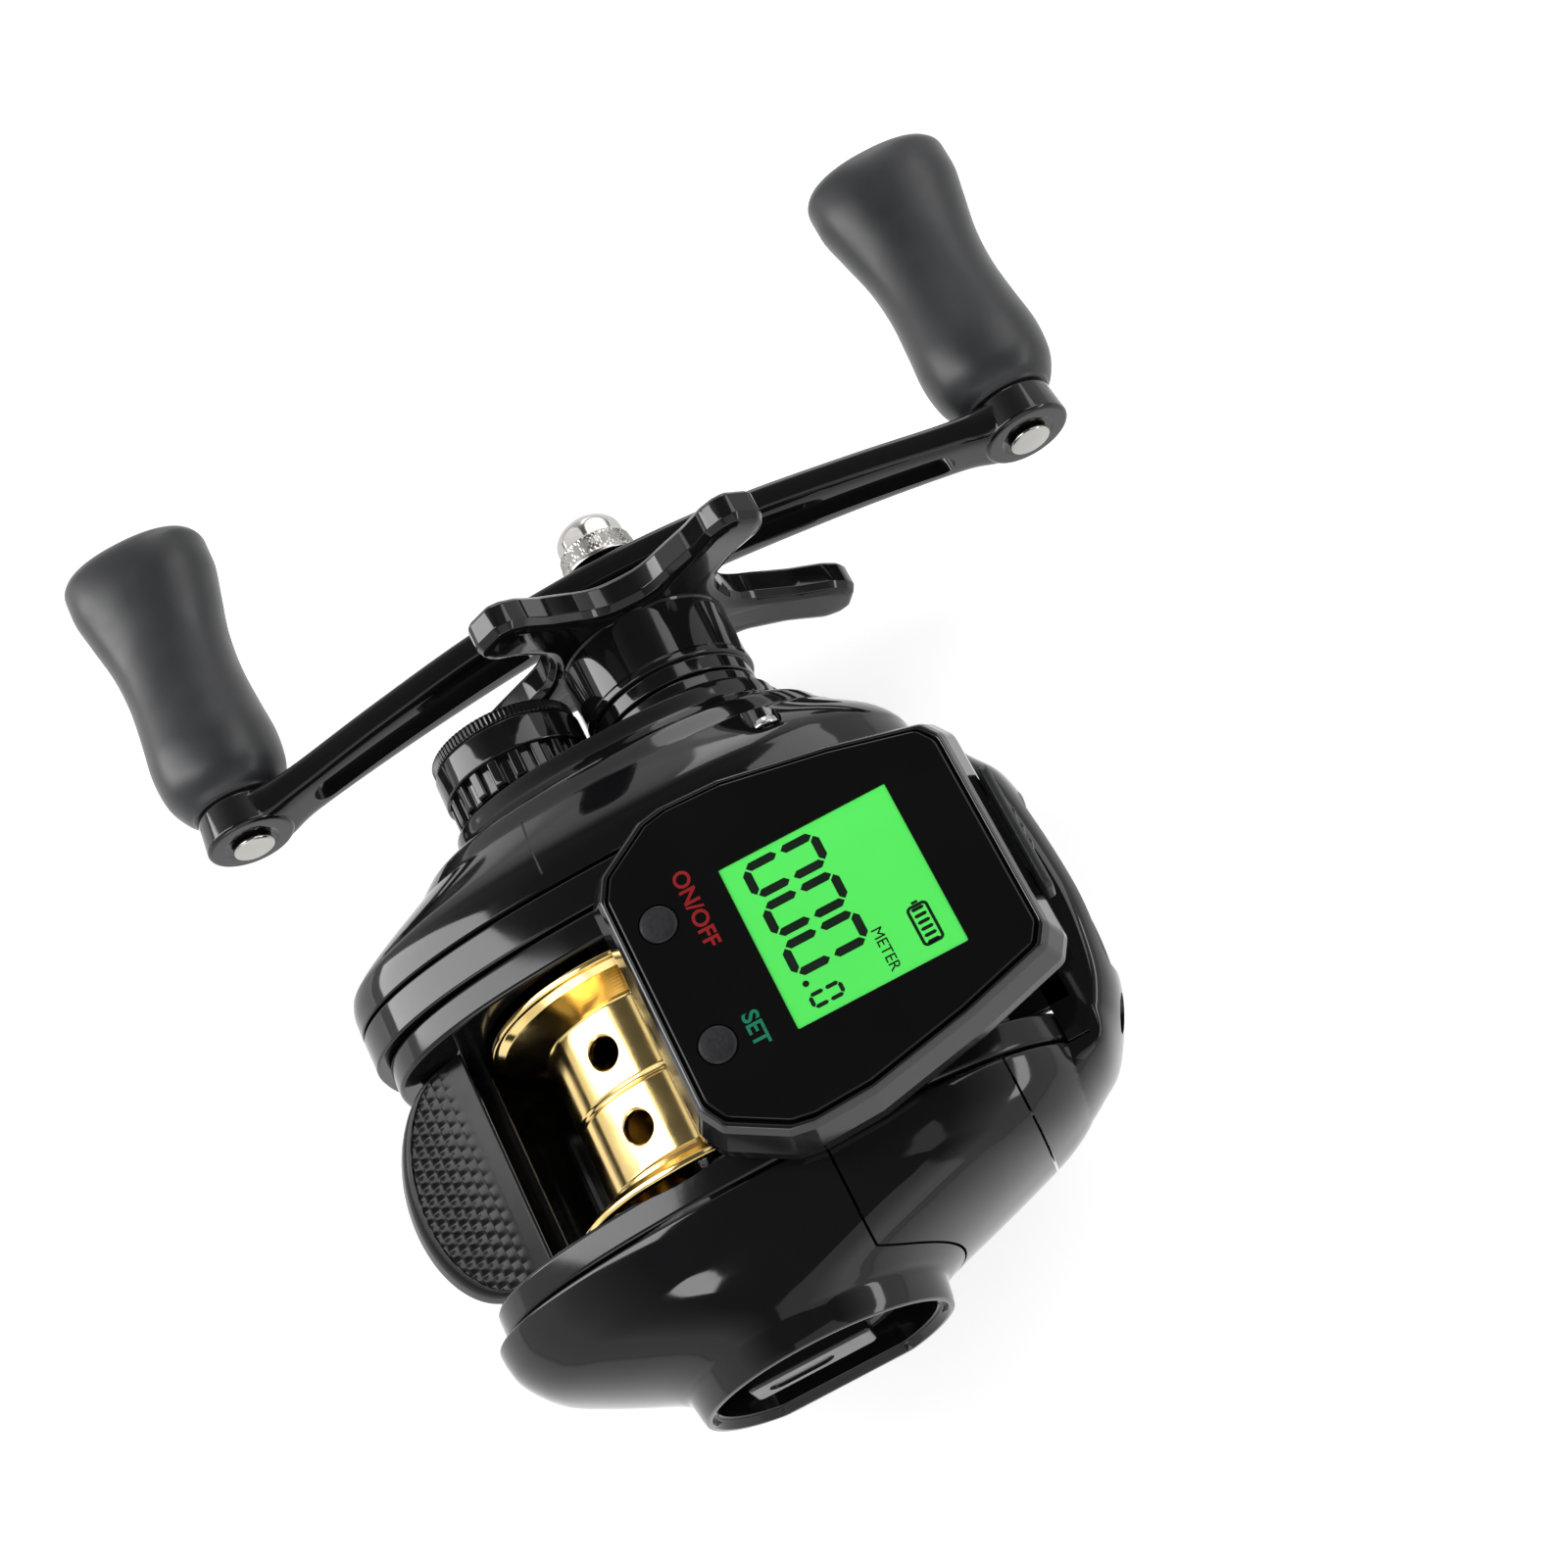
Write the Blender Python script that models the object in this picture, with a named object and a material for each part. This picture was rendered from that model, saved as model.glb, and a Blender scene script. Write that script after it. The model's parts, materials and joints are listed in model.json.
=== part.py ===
# A left-hand low-profile baitcasting reel with a digital line counter on its top.
# Frame: +X runs along the spool axis to the palming side, +Y forward to the line opening, +Z up.
# The origin is the middle of the reel foot's flat underside. Lengths are in metres.

import math

import bmesh
import bpy
from mathutils import Matrix, Vector

# Clearances and cutters
GAP = 0.0003
RUNNING_GAP = 0.0004
OVERRUN = 0.0010
EDGE_ROUND = 0.0006

# Reel foot
FOOT_LENGTH = 0.0620
FOOT_WIDTH = 0.0125
FOOT_THICKNESS = 0.0030
FOOT_TIP_THICKNESS = 0.0011
FOOT_CROWN_LENGTH = 0.0320
FOOT_CROWN_WIDTH = 0.0110
FOOT_AHEAD_OF_SPOOL = 0.0090
RIVET_SPACING = 0.0200
RIVET_RADIUS = 0.0015
RIVET_RECESS = 0.0005

# Spool
SPOOL_RADIUS = 0.0170
SPOOL_WIDTH = 0.0264
SPOOL_BARREL_RADIUS = 0.0115
SPOOL_WALL = 0.0010
SPOOL_RIM = 0.0009
SPOOL_FLANGE_DEPTH = 0.0038
SPOOL_GROOVE = 0.0005
SPOOL_HOLE_RADIUS = 0.0019
SPOOL_HOLE_OFFSET = 0.0048
SPOOL_HOLE_COUNT = 8
SPOOL_HOLE_TURN_SHARE = 0.45
SPOOL_WEB = 0.0024
SPOOL_HUB_RADIUS = 0.0036
SPOOL_HUB_LENGTH = 0.0090
SHAFT_RADIUS = 0.0015

# Frame
SPOOL_SIDE_CLEARANCE = 0.0010
FRAME_PLATE = 0.0036
FRAME_FLOOR = 0.0024
FLOOR_CLEARANCE = 0.0008
RING_CLEARANCE = 0.0004
GEAR_RING_REDUCTION = 0.0012
TOP_RISE = 0.0014
REAR_REACH = 0.0130
FRONT_REACH = 0.0090
FRAME_REAR_STEP = 0.0015
OUTLINE_FORWARD = 0.0120
OUTLINE_DROP = 0.0020
OUTLINE_POWER = 2.5
DECK_THICKNESS = 0.0018
DECK_DROP = 0.0028
DECK_START = 0.0030
DECK_LENGTH = 0.0120
REAR_WALL_ANGLE = 187

# Gear side
GEAR_PLATE = 0.0042
GEAR_BELLY_WALL = 0.0008
COVER_DEPTH = 0.0174
COVER_WALL = 0.0020
CRANK_AHEAD = 0.0206
CRANK_DROP = 0.0032
DRIVE_TEETH = 65
PINION_TEETH = 12
TOOTH_TIP_SHARE = 0.85
TOOTH_ROOT_SHARE = 1.1
DRIVE_GEAR_WIDTH = 0.0030
DRIVE_GEAR_INSET = 0.0026
GEAR_ROOM = 0.00035
PINION_WIDTH = 0.0060
PINION_OVERLAP = 0.0010
PINION_NECK = 0.0022
PINION_NECK_LENGTH = 0.0016
PINION_COLLAR = 0.0034
PINION_COLLAR_LENGTH = 0.0012
BEARING_RADIUS = 0.0045
BEARING_WIDTH = 0.0030
BEARING_GROOVE = 0.0004
BEARING_FACE_SHARE = 0.35

# Crank
CRANK_RADIUS = 0.0026
CRANK_BEARING_RADIUS = 0.0049
SLEEVE_RADIUS = 0.0041
ONE_WAY_RADIUS = 0.0074
ONE_WAY_WIDTH = 0.0060
DRAG_WASHER_RADIUS = 0.0095
DRAG_WASHER = 0.0008
PRESSURE_PLATE = 0.0012
CRANK_BOSS_RADIUS = 0.0110
CRANK_BOSS_RISE = 0.0014
CRANK_BOSS_RING = 0.0098
CRANK_BOSS_RING_RISE = 0.0016

# Clutch
YOKE_LENGTH = 0.0192
YOKE_POST_RADIUS = 0.0006
YOKE_WIDTH = 0.0078
YOKE_THICKNESS = 0.0009
SPRING_RADIUS = 0.0012
SPRING_WIRE = 0.00025
SPRING_LENGTH = 0.0038
SPRING_TURNS = 4
SPRING_TURN_STEPS = 8
SPRING_SIDES = 5
CAM_RADIUS = 0.0062
CAM_BORE = 0.0043
CAM_THICKNESS = 0.0010
CAM_RAMP = 0.0006
CAM_RAMP_WIDTH = 0.0016
CAM_BOSS_END = 0.0014

# Cast control
CAST_BOSS_RADIUS = 0.0070
CAST_BOSS_LENGTH = 0.0077
CAP_RADIUS = 0.0095
CAP_LENGTH = 0.0093
CAP_END = 0.0012
CAP_RIB = 0.0007
CAP_RIB_COUNT = 18
CAP_RIB_LENGTH = 0.0036
CAP_CHAMFER = 0.0007
FRICTION_DISC = 0.0005
FRICTION_DISC_RADIUS = 0.0042

# Star drag
STAR_HUB_RADIUS = 0.0105
STAR_LIP_RADIUS = 0.0110
STAR_NECK_RADIUS = 0.0086
STAR_NECK_LENGTH = 0.0020
STAR_LIP_LENGTH = 0.0012
STAR_HUB_LENGTH = 0.0076
STAR_WEB_RADIUS = 0.0124
STAR_ARM_REACH = 0.0285
STAR_ARM_WIDTH = 0.0092
STAR_ARM_THICKNESS = 0.0045
STAR_ARM_SWEEP = 0.0022
STAR_ARM_COUNT = 5
STAR_FIRST_ARM_ANGLE = 50
STAR_STANDOFF = 0.0027

# Handle
HANDLE_SPAN = 0.1080
HANDLE_WIDTH = 0.0106
HANDLE_THICKNESS = 0.0036
HANDLE_SWEEP = 0.0060
HANDLE_EYE_THICKNESS = 0.0048
HANDLE_SLOT_WIDTH = 0.0028
HANDLE_SLOT_START = 0.0120
HANDLE_SLOT_END_MARGIN = 0.0100
NUT_RADIUS = 0.0052
NUT_LENGTH = 0.0072
NUT_DOME = 0.0030
HANDLE_HUB_SHARE = 0.86
PIN_RADIUS = 0.0020
PIN_HEAD_RADIUS = 0.0027
PIN_HEAD = 0.0006
PIN_CROWN_SHARE = 0.85
KNOB_LENGTH = 0.0398
KNOB_TIP_WIDTH = 0.0198
KNOB_TIP_THICKNESS = 0.0134
KNOB_CAP_WALL = 0.0030

# Palm side
PALM_DEPTH = 0.0181
PALM_WALL = 0.0020
DIAL_AHEAD = 0.0030
DIAL_RISE = 0.0005
DIAL_BOSS_RADIUS = 0.0152
DIAL_BOSS_TAPER = 0.0030
DIAL_RECESS_DEPTH = 0.0060
DIAL_BOSS_FLAT = 0.0128
DIAL_BOSS_WALL = 0.0018
DIAL_RADIUS = 0.0106
DIAL_THICKNESS = 0.0022
DIAL_KNURL = 0.0005
DIAL_KNURL_COUNT = 24
DIAL_GRIP_WIDTH = 0.0066
DIAL_GRIP_LENGTH = 0.0150
DIAL_GRIP_SETBACK = 0.0018
DIAL_GRIP_RISE = 0.0026
DIAL_STEM_RADIUS = 0.0024
DIAL_STEM_LENGTH = 0.0056
NUMBER_PLATE_THICKNESS = 0.0008
NUMBER_PLATE_START = -50
NUMBER_PLATE_END = 78
PANEL_SEAM = 0.0139
PANEL_SEAM_RADIUS = 0.0186
NOSE_SEAM = 0.0350
SEAT_WALL = 0.0014
SEAT_DEPTH = 0.0036
MAGNET_RING_RADIUS = 0.0128
MAGNET_RING_THICKNESS = 0.0016
MAGNET_SLEEVE_LENGTH = 0.0060
MAGNET_SLEEVE_WALL = 0.0010
MAGNET_START = 0.0014

# Nose cover
NOSE_REACH = 0.0084
NOSE_HALF_WIDTH = 0.0240
NOSE_TOP = 0.0080
NOSE_BOTTOM = 0.0110
NOSE_WALL = 0.0024
NOSE_ROUND = 0.0030
NOSE_LAP = 0.0017
WINDOW_WIDTH = 0.0230
WINDOW_TOP = 0.0055
WINDOW_BOTTOM = 0.0060

# Level wind
WORM_AHEAD = 0.0355
WORM_DROP = 0.0070
WORM_RADIUS = 0.0026
WORM_JOURNAL = 0.0016
WORM_END_GAP = 0.0012
COG_TEETH = 26
WORM_GEAR_TEETH = 14
COG_WIDTH = 0.0016
GUARD_BORE = 0.0032
GUARD_WALL = 0.0009
GUARD_SLOT = 0.0034
GUARD_SLOT_END = 0.0028
GUIDE_WIDTH = 0.0064
GUIDE_WALL = 0.0015
GUIDE_TOWER_WIDTH = 0.0052
GUIDE_EYE_RISE = 0.0090
GUIDE_EYE_RADIUS = 0.0031
GUIDE_RING_RADIUS = 0.0021
GUIDE_RING_BORE = 0.0012
GUIDE_RING_WIDTH = 0.0040
GUIDE_ROD_RADIUS = 0.0012
GUIDE_ROD_AHEAD = 0.0315
GUIDE_FLOOR_GAP = 0.0010
GUIDE_LUG_RADIUS = 0.0026
PAWL_RADIUS = 0.0012
PAWL_LENGTH = 0.0034

# Thumb bar
THUMB_SETBACK = 0.0018
THUMB_TOP = 0.0078
THUMB_LENGTH = 0.0151
THUMB_SLOPE = 25
THUMB_THICKNESS = 0.0028
THUMB_SQUARE_LENGTH = 0.0045
THUMB_ARM_WIDTH = 0.0036
THUMB_ARM_THICKNESS = 0.0016
THUMB_ARM_DROP = 0.0110
THUMB_ARM_SETBACK = 0.0030

# Display
DISPLAY_OFFSET = 0.0013
DISPLAY_REAR = 0.0052
GLASS_HALF_WIDTH = 0.0190
GLASS_LENGTH = 0.0394
GLASS_THICKNESS = 0.0012
HOUSING_HEIGHT = 0.0082
HOUSING_LIP = 0.0008
HOUSING_FLARE = 0.0024
HOUSING_FLARE_SHARE = 0.42
HOUSING_SHOULDER = 0.0012
HOUSING_FOOT_FLARE = 0.0018
HOUSING_WALL_INSET = 0.0010
HOUSING_GROUND = 0.0003
TRAY_THICKNESS = 0.0012
KEEL_WIDTH = 0.0220
BATTERY_SIZE = 0.0220
BATTERY_LENGTH = 0.0140
BATTERY_THICKNESS = 0.0022
BATTERY_AHEAD = 0.0040
BOARD_WIDTH = 0.0240
BOARD_END_MARGIN = 0.0027
BOARD_THICKNESS = 0.0010
LCD_WIDTH = 0.0208
LCD_REAR_MARGIN = 0.0118
LCD_FRONT_MARGIN = 0.0070
LCD_THICKNESS = 0.0016
BUTTON_RADIUS = 0.00215
BUTTON_COLLAR = 0.0025
BUTTON_COLLAR_HEIGHT = 0.0008
BUTTON_PROUD = 0.0003
BUTTON_AHEAD = 0.0039
BUTTON_SPREAD = 0.0151
BUTTON_TRAVEL = 0.0004
PORT_WIDTH = 0.0090
PORT_HEIGHT = 0.0026
PORT_LENGTH = 0.0075
PORT_WALL = 0.0005
FLAP_WIDTH = 0.0160
FLAP_HEIGHT = 0.0046
FLAP_THICKNESS = 0.0011

# Screws
SCREW_HEAD_RADIUS = 0.0018
SCREW_HEAD = 0.0012
SCREW_SHANK = 0.0009
SCREW_CROWN_SHARE = 0.7
SCREW_SEAT = 0.0036
TOP_SCREW_SEAT = 0.0060
SCREW_BOSS_WALL = 0.0012
NOSE_SCREW_LENGTH = 0.0050
TOP_SCREW_AHEAD = 0.0292
TOP_SCREW_INSET = 0.0043
REAR_SCREW_INSET = 0.0110
REAR_SCREW_RISE = 0.0040
LOW_SCREW_AHEAD = 0.0010
LOW_SCREW_INSET = 0.0021

# Facets
ROUND_STEPS = 24
SMALL_STEPS = 12
TINY_STEPS = 10
OUTLINE_STEPS = 36
END_STEPS = 6
CUTTER_STEPS = 8
WALL_STEPS = 8
PLATE_STEPS = 12
PAD_STEPS = 12

# Places that follow from the sizes above. "out" counts from the middle of the spool along -X,
# "palm" along +X, and "ahead" and "rise" from the spool axis along +Y and +Z.
SPOOL_Y = -FOOT_AHEAD_OF_SPOOL
FLOOR_RADIUS = SPOOL_RADIUS + FLOOR_CLEARANCE
FRAME_BOTTOM = FLOOR_RADIUS + FRAME_FLOOR
SPOOL_Z = FOOT_THICKNESS + GAP + FRAME_BOTTOM
FRAME_IN = SPOOL_WIDTH / 2 + SPOOL_SIDE_CLEARANCE
FRAME_OUT = FRAME_IN + FRAME_PLATE
BODY_TOP = SPOOL_RADIUS + TOP_RISE
BODY_BACK = SPOOL_RADIUS + REAR_REACH
BODY_FRONT = WORM_AHEAD + FRONT_REACH
GEAR_PLATE_IN = FRAME_OUT + GAP
GEAR_PLATE_OUT = GEAR_PLATE_IN + GEAR_PLATE
COVER_IN = GEAR_PLATE_OUT + GAP
COVER_OUT = COVER_IN + COVER_DEPTH
CAVITY_OUT = COVER_OUT - COVER_WALL
COG_IN = COVER_IN + RUNNING_GAP
COG_OUT = COG_IN + COG_WIDTH
DRIVE_IN = COVER_IN + DRIVE_GEAR_INSET
DRIVE_OUT = DRIVE_IN + DRIVE_GEAR_WIDTH
WASHER_OUT = DRIVE_OUT + GAP + DRAG_WASHER
PLATE_OUT = WASHER_OUT + GAP + PRESSURE_PLATE
CRANK_DISTANCE = math.hypot(CRANK_AHEAD, CRANK_DROP)
MODULE = 2 * CRANK_DISTANCE / (DRIVE_TEETH + PINION_TEETH)
WORM_DISTANCE = math.hypot(WORM_AHEAD - CRANK_AHEAD, WORM_DROP - CRANK_DROP)
COG_MODULE = 2 * WORM_DISTANCE / (COG_TEETH + WORM_GEAR_TEETH)
DRIVE_ROOM_RADIUS = MODULE * (DRIVE_TEETH / 2 + TOOTH_TIP_SHARE) + GEAR_ROOM
GEAR_BOTTOM = CRANK_DROP + DRIVE_ROOM_RADIUS + GEAR_BELLY_WALL
BOSS_OUT = COVER_OUT + CRANK_BOSS_RISE + CRANK_BOSS_RING_RISE
CAST_BOSS_OUT = COVER_OUT + CAST_BOSS_LENGTH
STAR_IN = BOSS_OUT + GAP
STAR_OUT = STAR_IN + STAR_NECK_LENGTH + STAR_LIP_LENGTH + STAR_HUB_LENGTH + STAR_ARM_THICKNESS
HANDLE_IN = STAR_OUT + STAR_STANDOFF
HANDLE_OUT = HANDLE_IN + HANDLE_THICKNESS
EYE_IN = HANDLE_IN - HANDLE_SWEEP
EYE_OUT = EYE_IN + HANDLE_EYE_THICKNESS
KNOB_IN = EYE_OUT + GAP
KNOB_OUT = KNOB_IN + KNOB_LENGTH
PALM_IN = FRAME_OUT + GAP
PALM_OUT = PALM_IN + PALM_DEPTH
DIAL_RECESS_RADIUS = DIAL_BOSS_RADIUS - DIAL_BOSS_WALL
RECESS_FLOOR = PALM_OUT - DIAL_RECESS_DEPTH
PALM_CAVITY = RECESS_FLOOR - PALM_WALL
DECK_TOP = BODY_TOP - DECK_DROP
HOUSING_BOTTOM = BODY_TOP + HOUSING_GROUND
HOUSING_TOP = HOUSING_BOTTOM + HOUSING_HEIGHT
GLASS_TOP = HOUSING_TOP + HOUSING_LIP / 2
GLASS_BOTTOM = GLASS_TOP - GLASS_THICKNESS
TRAY_TOP = HOUSING_BOTTOM + TRAY_THICKNESS
BATTERY_TOP = TRAY_TOP + GAP + BATTERY_THICKNESS
BOARD_BOTTOM = BATTERY_TOP + GAP
BOARD_TOP = BOARD_BOTTOM + BOARD_THICKNESS
NOSE_FRONT = BODY_FRONT + NOSE_REACH
GUARD_RADIUS = GUARD_BORE + GUARD_WALL
GUIDE_ROD_DROP = FLOOR_RADIUS - GUIDE_LUG_RADIUS - GUIDE_FLOOR_GAP


def place(x, ahead, rise):
    """A point given from the spool's axis, in the reel's own frame."""
    return Vector((x, SPOOL_Y + ahead, SPOOL_Z + rise))


def finish(name, colour, roughness, metallic):
    """A plain Principled material."""
    material = bpy.data.materials.new(name)
    material.use_nodes = True
    shader = material.node_tree.nodes["Principled BSDF"]
    shader.inputs["Base Color"].default_value = (*colour, 1)
    shader.inputs["Roughness"].default_value = roughness
    shader.inputs["Metallic"].default_value = metallic
    return material


def solid(name, vertices, faces, material):
    """One closed body with its faces pointing out."""
    mesh = bpy.data.meshes.new(name)
    mesh.from_pydata(vertices, [], faces)
    work = bmesh.new()
    work.from_mesh(mesh)
    bmesh.ops.recalc_face_normals(work, faces=work.faces)
    work.to_mesh(mesh)
    work.free()
    mesh.materials.append(material)
    item = bpy.data.objects.new(name, mesh)
    bpy.context.collection.objects.link(item)
    return item


def loft(name, rings, material, closed=False):
    """Joins rings of points one after another; a ring of one point is a pole."""
    vertices = [point for ring in rings for point in ring]
    starts = []
    total = 0
    for ring in rings:
        starts.append(total)
        total += len(ring)
    faces = []
    pairs = list(zip(range(len(rings) - 1), range(1, len(rings))))
    if closed:
        pairs.append((len(rings) - 1, 0))
    for lower, upper in pairs:
        count = max(len(rings[lower]), len(rings[upper]))
        for i in range(count):
            j = (i + 1) % count
            a, b = starts[lower], starts[upper]
            if len(rings[lower]) == 1:
                faces.append((a, b + j, b + i))
            elif len(rings[upper]) == 1:
                faces.append((a + i, a + j, b))
            else:
                faces.append((a + i, a + j, b + j, b + i))
    if not closed:
        if len(rings[0]) > 1:
            faces.append(tuple(reversed(range(starts[0], starts[0] + len(rings[0])))))
        if len(rings[-1]) > 1:
            faces.append(tuple(range(starts[-1], starts[-1] + len(rings[-1]))))
    return solid(name, vertices, faces, material)


def circle(x, ahead, rise, radius, steps):
    """A ring of points round an axis along X."""
    if radius == 0:
        return [place(x, ahead, rise)]
    angles = [2 * math.pi * i / steps for i in range(steps)]
    return [place(x, ahead + radius * math.cos(a), rise + radius * math.sin(a)) for a in angles]


def turned(name, profile, material, ahead=0, rise=0, steps=ROUND_STEPS, ring=False):
    """A profile of (x, radius) pairs turned about an axis along X."""
    rings = [circle(x, ahead, rise, radius, steps) for x, radius in profile]
    return loft(name, rings, material, closed=ring)


def rod(name, x0, x1, radius, material, ahead=0, rise=0, steps=SMALL_STEPS):
    """A plain cylinder along X."""
    return turned(name, [(x0, radius), (x1, radius)], material, ahead, rise, steps)


def tube(name, x0, x1, bore, radius, material, ahead=0, rise=0, steps=ROUND_STEPS):
    """A plain tube along X."""
    profile = [(x0, radius), (x1, radius), (x1, bore), (x0, bore)]
    return turned(name, profile, material, ahead, rise, steps, ring=True)


def block(name, x0, x1, ahead0, ahead1, rise0, rise1, material):
    """A box between two corners given from the spool's axis."""
    rings = []
    for x in (x0, x1):
        corners = [(ahead0, rise0), (ahead1, rise0), (ahead1, rise1), (ahead0, rise1)]
        rings.append([place(x, a, r) for a, r in corners])
    return loft(name, rings, material)


def prism(name, outline, x0, x1, material):
    """An outline of (ahead, rise) pairs carried along X."""
    return loft(name, [[place(x, a, r) for a, r in outline] for x in (x0, x1)], material)


def upright(name, layers, material):
    """Plan outlines of (x, ahead) pairs joined from one rise to the next."""
    return loft(name, [[place(x, a, rise) for x, a in outline] for rise, outline in layers], material)


def boolean(target, tool, operation):
    """Cuts, joins or intersects, and keeps the result as the target's own mesh."""
    modifier = target.modifiers.new(operation.title(), "BOOLEAN")
    modifier.operation = operation
    modifier.solver = "EXACT"
    modifier.object = tool
    bpy.context.view_layer.update()
    evaluated = target.evaluated_get(bpy.context.evaluated_depsgraph_get())
    mesh = bpy.data.meshes.new_from_object(evaluated)
    target.modifiers.clear()
    target.data = mesh
    bpy.data.objects.remove(tool)
    return target


def cut(target, *tools):
    for tool in tools:
        boolean(target, tool, "DIFFERENCE")
    return target


def join(target, *tools):
    for tool in tools:
        boolean(target, tool, "UNION")
    return target


def hinge_at(item, point):
    """Moves an item's origin to a point on its joint's axis."""
    item.data.transform(Matrix.Translation(-point))
    item.location = point
    return item


def smooth(item):
    item.data.shade_smooth()
    item.data.set_sharp_from_angle(angle=math.radians(35))
    return item


def body_outline(back, front, top, bottom):
    """The side view of the reel: four quarter superellipses round one centre."""
    points = []
    for i in range(OUTLINE_STEPS):
        angle = 2 * math.pi * i / OUTLINE_STEPS
        c, s = math.cos(angle), math.sin(angle)
        along = front - OUTLINE_FORWARD if c > 0 else back + OUTLINE_FORWARD
        up = top + OUTLINE_DROP if s > 0 else bottom - OUTLINE_DROP
        ahead = OUTLINE_FORWARD + math.copysign(abs(c) ** (2 / OUTLINE_POWER), c) * along
        rise = -OUTLINE_DROP + math.copysign(abs(s) ** (2 / OUTLINE_POWER), s) * up
        points.append((ahead, rise))
    return points


def round_outline(ahead, rise, radius):
    angles = [2 * math.pi * i / OUTLINE_STEPS for i in range(OUTLINE_STEPS)]
    return [(ahead + radius * math.cos(a), rise + radius * math.sin(a)) for a in angles]


def flattened_outline(radius, flat):
    """The dial boss in side view: a circle cut off straight below the dial."""
    centre = round_outline(DIAL_AHEAD, DIAL_RISE, radius)
    return [(ahead, max(rise, DIAL_RISE - flat)) for ahead, rise in centre]


def gear_outline(teeth, module, ahead, rise, phase):
    """Tapered teeth, with the middle of one tooth at the phase angle."""
    tip = module * (teeth / 2 + TOOTH_TIP_SHARE)
    root = module * (teeth / 2 - TOOTH_ROOT_SHARE)
    pitch = 2 * math.pi / teeth
    corner_shares = [(root, -0.27), (tip, -0.11), (tip, 0.11), (root, 0.27)]
    points = []
    for i in range(teeth):
        for radius, share in corner_shares:
            a = phase + (i + share) * pitch
            points.append((ahead + radius * math.cos(a), rise + radius * math.sin(a)))
    return points


def wavy_outline(radius, depth, count, ahead=0, rise=0):
    """A round outline with square ribs, as on a cap or a knurled rim."""
    rib_shares = [(0.0, 0), (0.5, 0), (0.5, 1), (1.0, 1)]
    points = []
    for i in range(count):
        for share, sunk in rib_shares:
            a = 2 * math.pi * (i + share) / count
            reach = radius - sunk * depth
            points.append((ahead + reach * math.cos(a), rise + reach * math.sin(a)))
    return points


def reel_foot():
    """The plate that a rod's reel seat clamps, flat below, with thinned ends."""
    def plan(length, width, rise):
        radius = width / 2
        points = []
        for end in (1, -1):
            for i in range(END_STEPS + 1):
                a = math.pi * i / END_STEPS
                centre = end * (length / 2 - radius)
                points.append(Vector((end * radius * math.cos(a), centre + end * radius * math.sin(a),
                                      rise)))
        return points
    rings = [plan(FOOT_LENGTH, FOOT_WIDTH, 0), plan(FOOT_LENGTH, FOOT_WIDTH, FOOT_TIP_THICKNESS)]
    rings.append(plan(FOOT_CROWN_LENGTH, FOOT_CROWN_WIDTH, FOOT_THICKNESS))
    foot = loft("reel_foot", rings, STEEL)
    for name, side in (("front", 1), ("rear", -1)):
        y = side * RIVET_SPACING / 2
        cut(foot, upright_rod("hole", y, -OVERRUN, FOOT_THICKNESS + OVERRUN, RIVET_RADIUS + GAP, STEEL))
        top = FOOT_THICKNESS + GAP + FRAME_FLOOR - RIVET_RECESS
        smooth(upright_rod("foot_rivet_" + name, y, RIVET_RECESS, top, RIVET_RADIUS, STEEL))
    return foot


def upright_rod(name, y, z0, z1, radius, material, x=0, steps=TINY_STEPS):
    """A cylinder along Z, in the reel's own frame."""
    rings = []
    for z in (z0, z1):
        angles = [2 * math.pi * i / steps for i in range(steps)]
        rings.append([Vector((x + radius * math.cos(a), y + radius * math.sin(a), z)) for a in angles])
    return loft(name, rings, material)


def upright_turned(name, stations, material, x, ahead, steps):
    """A profile of (rise, radius) pairs turned about an axis along Z."""
    rings = []
    for rise, radius in stations:
        angles = [2 * math.pi * i / steps for i in range(steps)]
        rings.append([place(x + radius * math.cos(a), ahead + radius * math.sin(a), rise) for a in angles])
    return loft(name, rings, material)


def forward_rod(name, x, rise, ahead0, ahead1, radius, material, steps=TINY_STEPS):
    """A cylinder along Y."""
    rings = []
    for ahead in (ahead0, ahead1):
        angles = [2 * math.pi * i / steps for i in range(steps)]
        rings.append([place(x + radius * math.cos(a), ahead, rise + radius * math.sin(a)) for a in angles])
    return loft(name, rings, material)


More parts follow.
